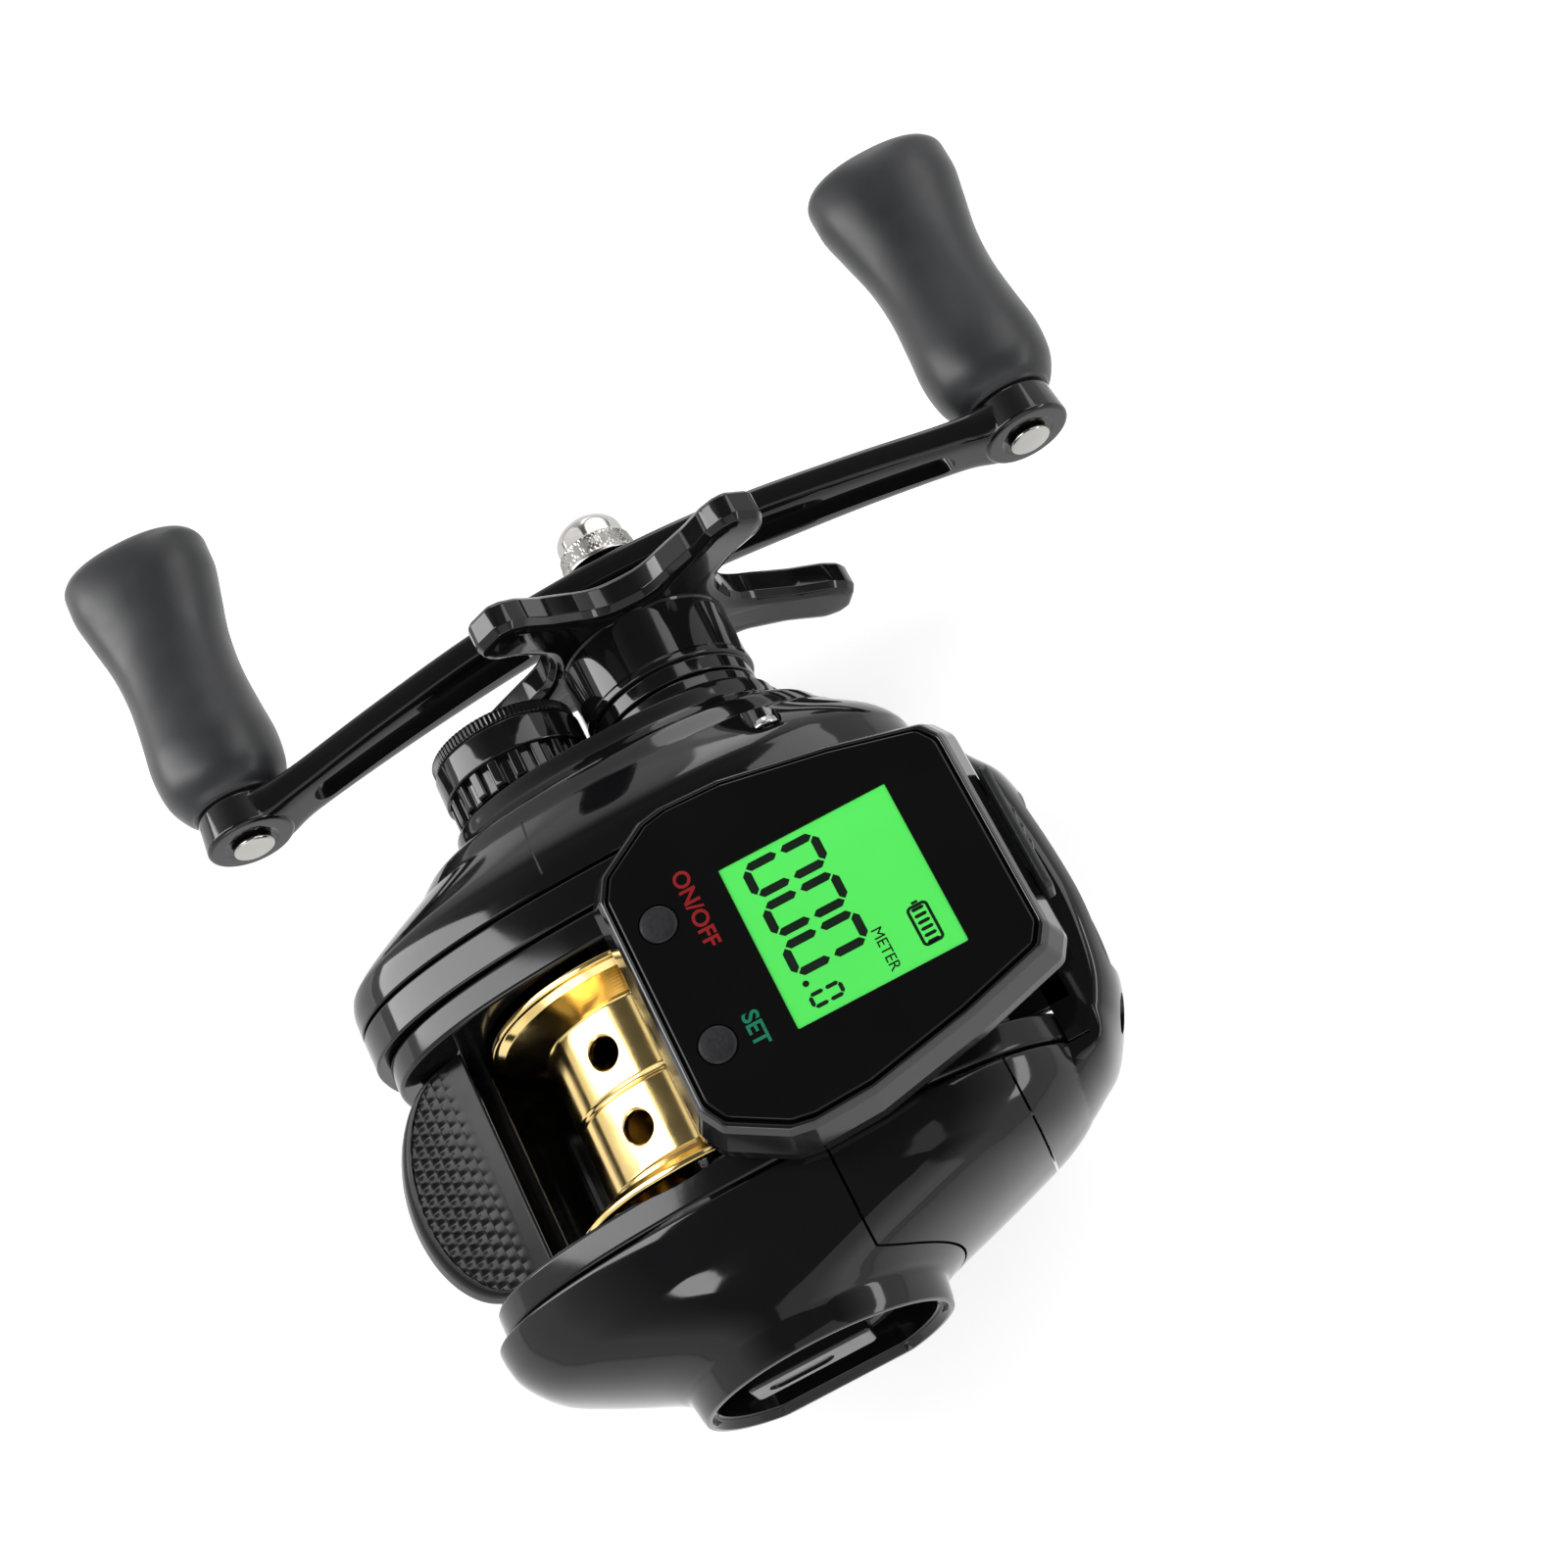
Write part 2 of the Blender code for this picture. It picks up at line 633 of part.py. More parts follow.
def frame():
    """Two rings round the spool, joined by the floor with its rear wall, and by the deck."""
    back = BODY_BACK - FRAME_REAR_STEP
    side = body_outline(back, BODY_FRONT, BODY_TOP, FRAME_BOTTOM)
    body = prism("frame", side, -FRAME_OUT, -FRAME_IN, BLACK_BODY)
    palm = prism("palm", side, FRAME_IN, FRAME_OUT, BLACK_BODY)
    cut(body, rod("hole", -FRAME_OUT - OVERRUN, -FRAME_IN + OVERRUN,
                  SPOOL_RADIUS - GEAR_RING_REDUCTION, BLACK_BODY, steps=ROUND_STEPS))
    cut(palm, rod("hole", FRAME_IN - OVERRUN, FRAME_OUT + OVERRUN,
                  SPOOL_RADIUS + RING_CLEARANCE, BLACK_BODY, steps=ROUND_STEPS))
    inner = []
    outer = []
    for i in range(WALL_STEPS + 1):
        a = math.radians(REAR_WALL_ANGLE + (270 - REAR_WALL_ANGLE) * i / WALL_STEPS)
        inner.append((FLOOR_RADIUS * math.cos(a), FLOOR_RADIUS * math.sin(a)))
        outer.append((FRAME_BOTTOM * math.cos(a), FRAME_BOTTOM * math.sin(a)))
    floor_front = GUIDE_ROD_AHEAD + GUIDE_LUG_RADIUS
    trough = inner + [(floor_front, -FLOOR_RADIUS), (floor_front, -FRAME_BOTTOM)] + outer[::-1]
    join(body, prism("floor", trough, -FRAME_IN - FRAME_PLATE / 2, FRAME_IN + FRAME_PLATE / 2, BLACK_BODY))
    deck_start = SPOOL_RADIUS + DECK_START
    join(body, block("deck", -FRAME_IN - FRAME_PLATE / 2, FRAME_IN + FRAME_PLATE / 2, deck_start,
                     deck_start + DECK_LENGTH, DECK_TOP - DECK_THICKNESS, DECK_TOP, BLACK_BODY))
    join(body, palm)
    low, high = -FRAME_OUT - OVERRUN, FRAME_OUT + OVERRUN
    cut(body, rod("hole", low, high, WORM_JOURNAL + GAP, BLACK_BODY, WORM_AHEAD, -WORM_DROP, TINY_STEPS))
    cut(body, rod("hole", low, high, GUIDE_ROD_RADIUS + GAP, BLACK_BODY, GUIDE_ROD_AHEAD,
                  -GUIDE_ROD_DROP, TINY_STEPS))
    for side in (1, -1):
        y = side * RIVET_SPACING / 2
        cut(body, upright_rod("hole", y, FOOT_THICKNESS - OVERRUN, FOOT_THICKNESS + FRAME_FLOOR + OVERRUN,
                              RIVET_RADIUS + GAP, BLACK_BODY))
    for ahead, rise in cover_screw_places():
        cut(body, rod("hole", low, -FRAME_IN + OVERRUN, SCREW_SHANK + GAP, BLACK_BODY, ahead, rise,
                      TINY_STEPS))
    for x in nose_screw_places():
        cut(body, forward_rod("hole", x, 0, BODY_FRONT - NOSE_SCREW_LENGTH, BODY_FRONT + OVERRUN,
                              SCREW_SHANK + GAP, BLACK_BODY))
    under = SPOOL_Z + DECK_TOP - DECK_THICKNESS - OVERRUN
    cut(body, upright_rod("hole", SPOOL_Y + deck_start + DECK_LENGTH / 2, under,
                          SPOOL_Z + DECK_TOP + OVERRUN, SCREW_SHANK + GAP, BLACK_BODY))
    return body


def cover_screw_places():
    """Where the three cover screws sit, as (ahead, rise)."""
    return [(TOP_SCREW_AHEAD, BODY_TOP - TOP_SCREW_INSET), (REAR_SCREW_INSET - BODY_BACK, REAR_SCREW_RISE),
            (LOW_SCREW_AHEAD, LOW_SCREW_INSET - FRAME_BOTTOM)]


def cover_screw_seats():
    """How far out each screw's head sits."""
    return [COVER_IN + TOP_SCREW_SEAT, COVER_IN + SCREW_SEAT, COVER_IN + SCREW_SEAT]


def nose_screw_places():
    middle = FRAME_IN + FRAME_PLATE / 2
    return [-middle, middle]


def spool():
    """Barrel, cupped flanges and hub in one turned piece, with two rows of holes."""
    half = SPOOL_WIDTH / 2
    foot = half - SPOOL_FLANGE_DEPTH
    inner = SPOOL_BARREL_RADIUS - SPOOL_WALL
    span = SPOOL_RADIUS - SPOOL_BARREL_RADIUS
    cup_shares = [(1.0, 1.0), (0.72, 0.78), (0.34, 0.36), (0.10, 0.10), (0.0, 0.0)]
    outside = [(foot + sx * (SPOOL_FLANGE_DEPTH - SPOOL_RIM), SPOOL_BARREL_RADIUS + sr * span)
               for sx, sr in cup_shares]
    groove = [(SPOOL_GROOVE, SPOOL_BARREL_RADIUS), (0, SPOOL_BARREL_RADIUS - SPOOL_GROOVE)]
    right = [(half, SPOOL_RADIUS)] + outside + groove
    left = [(-x, r) for x, r in reversed(right[:-1])]
    inside_shares = [(1.0, 0.90), (0.72, 0.52), (0.40, 0.10), (0.20, 0.0)]
    inside_right = [(foot + sx * SPOOL_FLANGE_DEPTH, inner + sr * (SPOOL_RADIUS - inner))
                    for sx, sr in inside_shares]
    hub = [(SPOOL_WEB / 2, inner), (SPOOL_WEB / 2, SPOOL_HUB_RADIUS),
           (SPOOL_HUB_LENGTH / 2, SPOOL_HUB_RADIUS), (SPOOL_HUB_LENGTH / 2, SHAFT_RADIUS + GAP)]
    inside_right += hub
    inside_left = [(-x, r) for x, r in reversed(inside_right)]
    profile = inside_right[::-1] + right + left + inside_left[::-1]
    item = turned("spool", profile, GOLD, ring=True, steps=ROUND_STEPS)
    for side in (1, -1):
        for i in range(SPOOL_HOLE_COUNT):
            a = 2 * math.pi * (i + SPOOL_HOLE_TURN_SHARE) / SPOOL_HOLE_COUNT
            cut(item, radial_rod(side * SPOOL_HOLE_OFFSET, a, inner - OVERRUN,
                                 SPOOL_BARREL_RADIUS + OVERRUN, SPOOL_HOLE_RADIUS))
    return smooth(item)


def radial_rod(x, angle, inside, outside, radius):
    """A cutter that points away from the spool's axis."""
    away = Vector((0, math.cos(angle), math.sin(angle)))
    across = Vector((0, -math.sin(angle), math.cos(angle)))
    rings = []
    for reach in (inside, outside):
        centre = place(x, 0, 0) + reach * away
        turns = [2 * math.pi * i / CUTTER_STEPS for i in range(CUTTER_STEPS)]
        rings.append([centre + radius * (math.cos(t) * Vector((1, 0, 0)) + math.sin(t) * across)
                      for t in turns])
    return loft("cutter", rings, GOLD)


def bearing(name, x0, bore, radius, ahead=0, rise=0):
    """A ball bearing as one ring with a grooved face on each side."""
    x1 = x0 + BEARING_WIDTH
    land = (radius - bore) * BEARING_FACE_SHARE
    profile = [(x0, radius), (x1, radius), (x1, radius - land), (x1 - BEARING_GROOVE, radius - land),
               (x1 - BEARING_GROOVE, bore + land), (x1, bore + land), (x1, bore), (x0, bore),
               (x0, bore + land), (x0 + BEARING_GROOVE, bore + land),
               (x0 + BEARING_GROOVE, radius - land), (x0, radius - land)]
    return smooth(turned(name, profile, STEEL, ahead, rise, SMALL_STEPS, ring=True))


def spool_shaft():
    """Runs from the palm bearing through the pinion into the cast-control boss."""
    palm_end = PALM_IN + GAP + BEARING_WIDTH
    return smooth(rod("spool_shaft", -CAST_BOSS_OUT, palm_end, SHAFT_RADIUS, STEEL, steps=TINY_STEPS))


def gear_side_plate():
    """Carries the gear train and closes the cover."""
    outline = body_outline(BODY_BACK, BODY_FRONT + GAP, BODY_TOP, GEAR_BOTTOM)
    plate = prism("gear_side_plate", outline, -GEAR_PLATE_OUT, -GEAR_PLATE_IN, BLACK_GLOSS)
    low, high = -GEAR_PLATE_OUT - OVERRUN, -GEAR_PLATE_IN + OVERRUN
    cut(plate, rod("hole", low, high, SHAFT_RADIUS + GAP, BLACK_GLOSS))
    cut(plate, rod("hole", low, high, CRANK_BEARING_RADIUS + GAP, BLACK_GLOSS, CRANK_AHEAD, -CRANK_DROP))
    cut(plate, rod("hole", low, high, WORM_JOURNAL + GAP, BLACK_GLOSS, WORM_AHEAD, -WORM_DROP, TINY_STEPS))
    for ahead, rise in cover_screw_places():
        cut(plate, rod("hole", low, high, SCREW_SHANK + GAP, BLACK_GLOSS, ahead, rise, TINY_STEPS))
    boss = tube("boss", -DRIVE_OUT, -GEAR_PLATE_OUT + GAP, CAM_BORE, CAM_RADIUS, BLACK_GLOSS,
                steps=SMALL_STEPS)
    cut(boss, block("opening", -COVER_OUT, -GEAR_PLATE_IN, CAM_BOSS_END, CRANK_AHEAD, -BODY_TOP, BODY_TOP,
                    BLACK_GLOSS))
    join(plate, boss)
    for rise in yoke_post_rises():
        join(plate, rod("post", -DRIVE_OUT - SPRING_LENGTH, -GEAR_PLATE_OUT + GAP, YOKE_POST_RADIUS,
                        BLACK_GLOSS, 0, rise, TINY_STEPS))
    return plate


def yoke_post_rises():
    """The two posts that the yoke slides on, above and below the spool's axis."""
    reach = YOKE_LENGTH / 2 - 2 * SPRING_RADIUS
    return [reach, -reach]


def cover_stations(inset):
    """The domed cover as (out, outline) pairs: how far each depth draws in at the back and elsewhere."""
    draw_shares = [(0.0, 0.0, 0.0), (0.28, 0.06, 0.02), (0.40, 0.23, 0.12), (0.60, 0.53, 0.50),
                   (0.80, 0.78, 0.78), (0.94, 0.94, 0.94), (1.0, 1.0, 1.0)]
    plateau_back = CAP_RADIUS
    plateau_front = CRANK_AHEAD + CRANK_BOSS_RADIUS
    plateau_top = CRANK_BOSS_RADIUS
    plateau_bottom = CRANK_BOSS_RADIUS + CRANK_DROP
    stations = []
    for depth, back_draw, draw in draw_shares:
        back = BODY_BACK + back_draw * (plateau_back - BODY_BACK) - inset
        front = BODY_FRONT + draw * (plateau_front - BODY_FRONT) - inset
        top = BODY_TOP + draw * (plateau_top - BODY_TOP) - inset
        bottom = GEAR_BOTTOM + draw * (plateau_bottom - GEAR_BOTTOM) - inset
        stations.append((COVER_IN + depth * (COVER_DEPTH - inset), body_outline(back, front, top, bottom)))
    return stations


def gear_side_cover():
    """The domed shell over the gears, with its boss for the crank and its threaded boss for the cap."""
    rings = [[place(-out, a, r) for a, r in outline] for out, outline in cover_stations(0)]
    cover = loft("gear_side_cover", rings, BLACK_GLOSS)
    step = -COVER_OUT - CRANK_BOSS_RISE
    boss = [(-COVER_OUT + COVER_WALL / 2, CRANK_BOSS_RADIUS), (step, CRANK_BOSS_RADIUS),
            (step, CRANK_BOSS_RING), (-BOSS_OUT, CRANK_BOSS_RING)]
    join(cover, turned("boss", boss, BLACK_GLOSS, CRANK_AHEAD, -CRANK_DROP))
    join(cover, rod("boss", -CAST_BOSS_OUT, -COVER_OUT + COVER_WALL / 2, CAST_BOSS_RADIUS, BLACK_GLOSS,
                    steps=ROUND_STEPS))
    inner = cover_stations(COVER_WALL)
    hollow = [[place(-out, a, r) for a, r in outline] for out, outline in inner]
    hollow[0] = [place(-COVER_IN + OVERRUN, a, r) for a, r in inner[0][1]]
    hollow = loft("hollow", hollow, BLACK_GLOSS)
    boss_radius = SCREW_HEAD_RADIUS + GAP + SCREW_BOSS_WALL
    for ahead, rise in cover_screw_places():
        cut(hollow, rod("boss", -COVER_OUT, -COVER_IN + 2 * OVERRUN, boss_radius, BLACK_GLOSS, ahead, rise))
    cut(cover, hollow)
    room = COG_MODULE * (WORM_GEAR_TEETH / 2 + TOOTH_TIP_SHARE) + GEAR_ROOM
    cut(cover, rod("room", -COG_OUT - GEAR_ROOM, -COVER_IN + OVERRUN, room, BLACK_GLOSS, WORM_AHEAD,
                   -WORM_DROP))
    cut(cover, rod("room", -DRIVE_OUT - GEAR_ROOM, -COVER_IN + OVERRUN, DRIVE_ROOM_RADIUS, BLACK_GLOSS,
                   CRANK_AHEAD, -CRANK_DROP, OUTLINE_STEPS))
    cut(cover, rod("bore", -BOSS_OUT - OVERRUN, -CAVITY_OUT + OVERRUN, ONE_WAY_RADIUS + GAP, BLACK_GLOSS,
                   CRANK_AHEAD, -CRANK_DROP, ROUND_STEPS))
    cut(cover, rod("bore", -CAST_BOSS_OUT - OVERRUN, -CAVITY_OUT + OVERRUN, BEARING_RADIUS + GAP,
                   BLACK_GLOSS))
    for rise in yoke_post_rises():
        join(cover, rod("seat", -CAVITY_OUT - COVER_WALL / 2, -spring_end() - GAP,
                        SPRING_RADIUS + 2 * SPRING_WIRE, BLACK_GLOSS, 0, rise, TINY_STEPS))
    for seat, (ahead, rise) in zip(cover_screw_seats(), cover_screw_places()):
        cut(cover, rod("channel", -COVER_OUT - OVERRUN, -seat, SCREW_HEAD_RADIUS + GAP, BLACK_GLOSS, ahead,
                       rise))
        cut(cover, rod("hole", -seat - OVERRUN, -COVER_IN + OVERRUN, SCREW_SHANK + GAP, BLACK_GLOSS,
                       ahead, rise, TINY_STEPS))
    return cover


def pinion_places():
    """Where the pinion's teeth start and end, and where its neck and its collar end."""
    start = DRIVE_IN - PINION_OVERLAP
    teeth_out = start + PINION_WIDTH
    neck_out = teeth_out + PINION_NECK_LENGTH
    return start, teeth_out, neck_out, neck_out + PINION_COLLAR_LENGTH


def yoke_places():
    """The yoke's two faces, in the middle of the pinion's neck."""
    middle = (pinion_places()[1] + pinion_places()[2]) / 2
    return middle - YOKE_THICKNESS / 2, middle + YOKE_THICKNESS / 2


def spring_end():
    return yoke_places()[1] + GAP + SPRING_LENGTH + 2 * SPRING_WIRE


def screw(name, x, ahead, rise, length):
    """A pan-head screw along X with its head on the -X side at x."""
    profile = [(x - SCREW_HEAD, 0), (x - SCREW_HEAD, SCREW_HEAD_RADIUS * SCREW_CROWN_SHARE),
               (x - SCREW_HEAD / 2, SCREW_HEAD_RADIUS), (x, SCREW_HEAD_RADIUS), (x, SCREW_SHANK),
               (x + length, SCREW_SHANK), (x + length, 0)]
    return smooth(turned(name, profile, STEEL, ahead, rise, TINY_STEPS))


def cover_screws():
    names = ("gear_screw_top", "gear_screw_rear", "gear_screw_low")
    for name, seat, (ahead, rise) in zip(names, cover_screw_seats(), cover_screw_places()):
        screw(name, -seat - GAP, ahead, rise, seat - FRAME_IN - FRAME_PLATE / 2)


def gear_train():
    """Drive gear and pinion in mesh, with the level-wind cog and worm gear in mesh beside them."""
    mesh_angle = math.atan2(CRANK_DROP, -CRANK_AHEAD)
    outline = gear_outline(DRIVE_TEETH, MODULE, CRANK_AHEAD, -CRANK_DROP, mesh_angle)
    drive = prism("drive_gear", outline, -DRIVE_OUT, -DRIVE_IN, BRASS)
    cut(drive, rod("bore", -DRIVE_OUT - OVERRUN, -DRIVE_IN + OVERRUN, CRANK_RADIUS + GAP, BRASS,
                   CRANK_AHEAD, -CRANK_DROP, SMALL_STEPS))
    hinge_at(drive, place(-DRIVE_IN, CRANK_AHEAD, -CRANK_DROP))

    pinion_angle = mesh_angle + math.pi + math.pi / PINION_TEETH
    outline = gear_outline(PINION_TEETH, MODULE, 0, 0, pinion_angle)
    start, teeth_out, neck_out, collar_out = pinion_places()
    pinion = prism("pinion_gear", outline, -teeth_out, -start, BRASS)
    neck = [(-collar_out, PINION_COLLAR), (-neck_out, PINION_COLLAR), (-neck_out, PINION_NECK),
            (-teeth_out + OVERRUN, PINION_NECK)]
    join(pinion, turned("neck", neck, BRASS, steps=SMALL_STEPS))
    cut(pinion, rod("bore", -collar_out - OVERRUN, -start + OVERRUN, SHAFT_RADIUS + GAP, BRASS,
                    steps=TINY_STEPS))

    worm_angle = math.atan2(CRANK_DROP - WORM_DROP, WORM_AHEAD - CRANK_AHEAD)
    outline = gear_outline(COG_TEETH, COG_MODULE, CRANK_AHEAD, -CRANK_DROP, worm_angle)
    cog = prism("levelwind_cog", outline, -COG_OUT, -COG_IN, NYLON)
    cut(cog, rod("bore", -COG_OUT - OVERRUN, -COG_IN + OVERRUN, CRANK_RADIUS + GAP, NYLON,
                 CRANK_AHEAD, -CRANK_DROP, SMALL_STEPS))
    mating_angle = worm_angle + math.pi + math.pi / WORM_GEAR_TEETH
    outline = gear_outline(WORM_GEAR_TEETH, COG_MODULE, WORM_AHEAD, -WORM_DROP, mating_angle)
    worm_gear = prism("worm_gear", outline, -COG_OUT, -COG_IN, NYLON)
    cut(worm_gear, rod("bore", -COG_OUT - OVERRUN, -COG_IN + OVERRUN, WORM_JOURNAL + GAP, NYLON,
                       WORM_AHEAD, -WORM_DROP, TINY_STEPS))


def crank():
    """The shaft with what turns on it inside the cover: bearing, drag stack, sleeve and one-way bearing."""
    here = {"ahead": CRANK_AHEAD, "rise": -CRANK_DROP}
    start = GEAR_PLATE_IN + GAP
    smooth(rod("crank_shaft", -HANDLE_OUT - NUT_LENGTH / 2, -start, CRANK_RADIUS, STEEL, **here))
    bearing("crank_bearing", -start - BEARING_WIDTH, CRANK_RADIUS + GAP, CRANK_BEARING_RADIUS, **here)
    smooth(tube("drag_washer", -WASHER_OUT, -DRIVE_OUT - GAP, CRANK_RADIUS + GAP, DRAG_WASHER_RADIUS, FELT,
                **here))
    profile = [(-WASHER_OUT - GAP, DRAG_WASHER_RADIUS), (-PLATE_OUT, DRAG_WASHER_RADIUS),
               (-PLATE_OUT, SLEEVE_RADIUS), (-STAR_IN + GAP, SLEEVE_RADIUS),
               (-STAR_IN + GAP, CRANK_RADIUS + GAP), (-WASHER_OUT - GAP, CRANK_RADIUS + GAP)]
    smooth(turned("drag_sleeve", profile, STEEL, ring=True, **here))
    end = BOSS_OUT - GAP
    smooth(tube("one_way_bearing", -end, -end + ONE_WAY_WIDTH, SLEEVE_RADIUS + GAP, ONE_WAY_RADIUS, STEEL,
                steps=ROUND_STEPS, **here))


def spring(name, x0, x1, ahead, rise):
    """A small round-wire spring along X, as one unbroken tube."""
    steps = SPRING_TURNS * SPRING_TURN_STEPS
    rings = []
    for i in range(steps + 1):
        share = i / steps
        a = 2 * math.pi * SPRING_TURNS * share
        away = Vector((0, math.cos(a), math.sin(a)))
        centre = place(x0 + share * (x1 - x0), ahead, rise) + SPRING_RADIUS * away
        turns = [2 * math.pi * j / SPRING_SIDES for j in range(SPRING_SIDES)]
        rings.append([centre + SPRING_WIRE * (math.cos(t) * away + math.sin(t) * Vector((1, 0, 0)))
                      for t in turns])
    return smooth(loft(name, rings, STEEL))


def clutch():
    """The yoke that slides the pinion out of the spool, its cam ring and its two springs."""
    yoke_in, yoke_out = yoke_places()
    yoke = block("clutch_yoke", -yoke_out, -yoke_in, -YOKE_WIDTH / 2, YOKE_WIDTH / 2, -YOKE_LENGTH / 2,
                 YOKE_LENGTH / 2, BRASS)
    cut(yoke, rod("bore", -yoke_out - OVERRUN, -yoke_in + OVERRUN, PINION_NECK + GAP, BRASS))
    for name, rise in zip(("upper", "lower"), yoke_post_rises()):
        cut(yoke, rod("hole", -yoke_out - OVERRUN, -yoke_in + OVERRUN, YOKE_POST_RADIUS + GAP, BRASS, 0,
                      rise, TINY_STEPS))
        spring("yoke_spring_" + name, -spring_end() + SPRING_WIRE, -yoke_out - GAP - SPRING_WIRE, 0, rise)
    cam_out = DRIVE_OUT + GAP + CAM_THICKNESS
    cam = tube("clutch_cam", -cam_out, -DRIVE_OUT - GAP, CAM_BORE, CAM_RADIUS, BRASS)
    middle = (CAM_BORE + CAM_RADIUS) / 2
    half = CAM_RAMP_WIDTH / 2
    for side in (1, -1):
        join(cam, block("ramp", -cam_out - CAM_RAMP, -cam_out + CAM_THICKNESS / 2, side * middle - half,
                        side * middle + half, -half, half, BRASS))


def cast_control():
    """The coaxial cap that presses a friction disc on the shaft's end."""
    disc_in = CAST_BOSS_OUT + GAP
    disc_out = disc_in + FRICTION_DISC
    smooth(rod("friction_disc", -disc_out, -disc_in, FRICTION_DISC_RADIUS, FELT))
    inside = disc_out + GAP
    outside = inside + CAP_END
    skirt = outside - CAP_LENGTH
    ribs = wavy_outline(CAP_RADIUS, CAP_RIB, CAP_RIB_COUNT)
    cap = prism("cast_control_cap", ribs, -skirt - CAP_RIB_LENGTH, -skirt, BLACK_GLOSS)
    band_in = skirt + CAP_RIB_LENGTH - EDGE_ROUND
    band = [(-outside, CAP_RADIUS - 3 * CAP_CHAMFER), (-outside, CAP_RADIUS - CAP_CHAMFER),
            (-outside + CAP_CHAMFER, CAP_RADIUS), (-band_in, CAP_RADIUS)]
    join(cap, turned("band", band, BLACK_GLOSS))
    cut(cap, rod("bore", -inside, -skirt + OVERRUN, CAST_BOSS_RADIUS + GAP, BLACK_GLOSS, steps=ROUND_STEPS))
    return hinge_at(cap, place(-skirt, 0, 0))


def star_drag():
    """The five-armed wheel that squeezes the drag stack."""
    neck_out = STAR_IN + STAR_NECK_LENGTH
    lip_out = neck_out + STAR_LIP_LENGTH
    hub_out = lip_out + STAR_HUB_LENGTH
    profile = [(-STAR_OUT, STAR_HUB_RADIUS), (-STAR_OUT + EDGE_ROUND, STAR_WEB_RADIUS),
               (-hub_out - EDGE_ROUND, STAR_WEB_RADIUS), (-hub_out + EDGE_ROUND, STAR_HUB_RADIUS),
               (-lip_out, STAR_HUB_RADIUS),
               (-neck_out - STAR_LIP_LENGTH / 2, STAR_LIP_RADIUS), (-neck_out, STAR_LIP_RADIUS),
               (-neck_out, STAR_NECK_RADIUS), (-STAR_IN, STAR_NECK_RADIUS)]
    star = turned("star_drag", profile, BLACK_GLOSS, CRANK_AHEAD, -CRANK_DROP)
    for i in range(STAR_ARM_COUNT):
        join(star, star_arm(math.radians(STAR_FIRST_ARM_ANGLE) + 2 * math.pi * i / STAR_ARM_COUNT))
    cut(star, rod("bore", -STAR_OUT - OVERRUN, -STAR_IN + OVERRUN, CRANK_RADIUS + GAP, BLACK_GLOSS,
                  CRANK_AHEAD, -CRANK_DROP, SMALL_STEPS))
    return hinge_at(star, place(-STAR_IN, CRANK_AHEAD, -CRANK_DROP))


def star_arm(angle):
    """One arm: an eight-sided bar that rises outwards, waisted, with a squared paddle end."""
    away = Vector((0, math.cos(angle), math.sin(angle)))
    across = Vector((0, -math.sin(angle), math.cos(angle)))
    middle = STAR_OUT - STAR_ARM_THICKNESS / 2
    centre = place(-middle, CRANK_AHEAD, -CRANK_DROP)
    station_shares = [(0.24, 1.50, 0.98, 0.0), (0.44, 1.16, 0.98, 0.0), (0.58, 0.86, 0.98, 0.14),
                      (0.74, 0.80, 0.98, 0.46), (0.88, 0.84, 0.98, 0.82), (0.96, 0.72, 0.96, 0.96),
                      (1.0, 0.48, 0.86, 1.0)]
    corner_shares = [(1, 0.6), (0.7, 1), (-0.7, 1), (-1, 0.6), (-1, -0.6), (-0.7, -1), (0.7, -1), (1, -0.6)]
    rings = []
    for reach, wide, thick, sweep in station_shares:
        spot = centre + reach * STAR_ARM_REACH * away + Vector((sweep * STAR_ARM_SWEEP, 0, 0))
        half_width = wide * STAR_ARM_WIDTH / 2
        half_thick = thick * STAR_ARM_THICKNESS / 2
        rings.append([spot + cw * half_width * across + ct * half_thick * Vector((1, 0, 0))
                      for cw, ct in corner_shares])
    return loft("arm", rings, BLACK_GLOSS)


def handle_station_shares():
    """Shares of half the span, with the arm's place in its sweep, its width and its thickness."""
    return [(-1.095, 1.0, 0.40, 1.0), (-1.06, 1.0, 0.80, 1.0), (-1.0, 1.0, 1.0, 1.0),
            (-0.93, 0.99, 0.86, 1.0), (-0.84, 0.84, 0.76, 0.86), (-0.62, 0.50, 0.86, 0.84),
            (-0.36, 0.18, 0.98, 0.88),
            (-0.14, 0.02, 1.02, HANDLE_HUB_SHARE), (0.0, 0.0, 1.06, HANDLE_HUB_SHARE),
            (0.14, 0.02, 1.02, HANDLE_HUB_SHARE), (0.36, 0.18, 0.98, 0.88),
            (0.62, 0.50, 0.86, 0.84), (0.84, 0.84, 0.76, 0.86), (0.93, 0.99, 0.86, 1.0),
            (1.0, 1.0, 1.0, 1.0), (1.06, 1.0, 0.80, 1.0), (1.095, 1.0, 0.40, 1.0)]


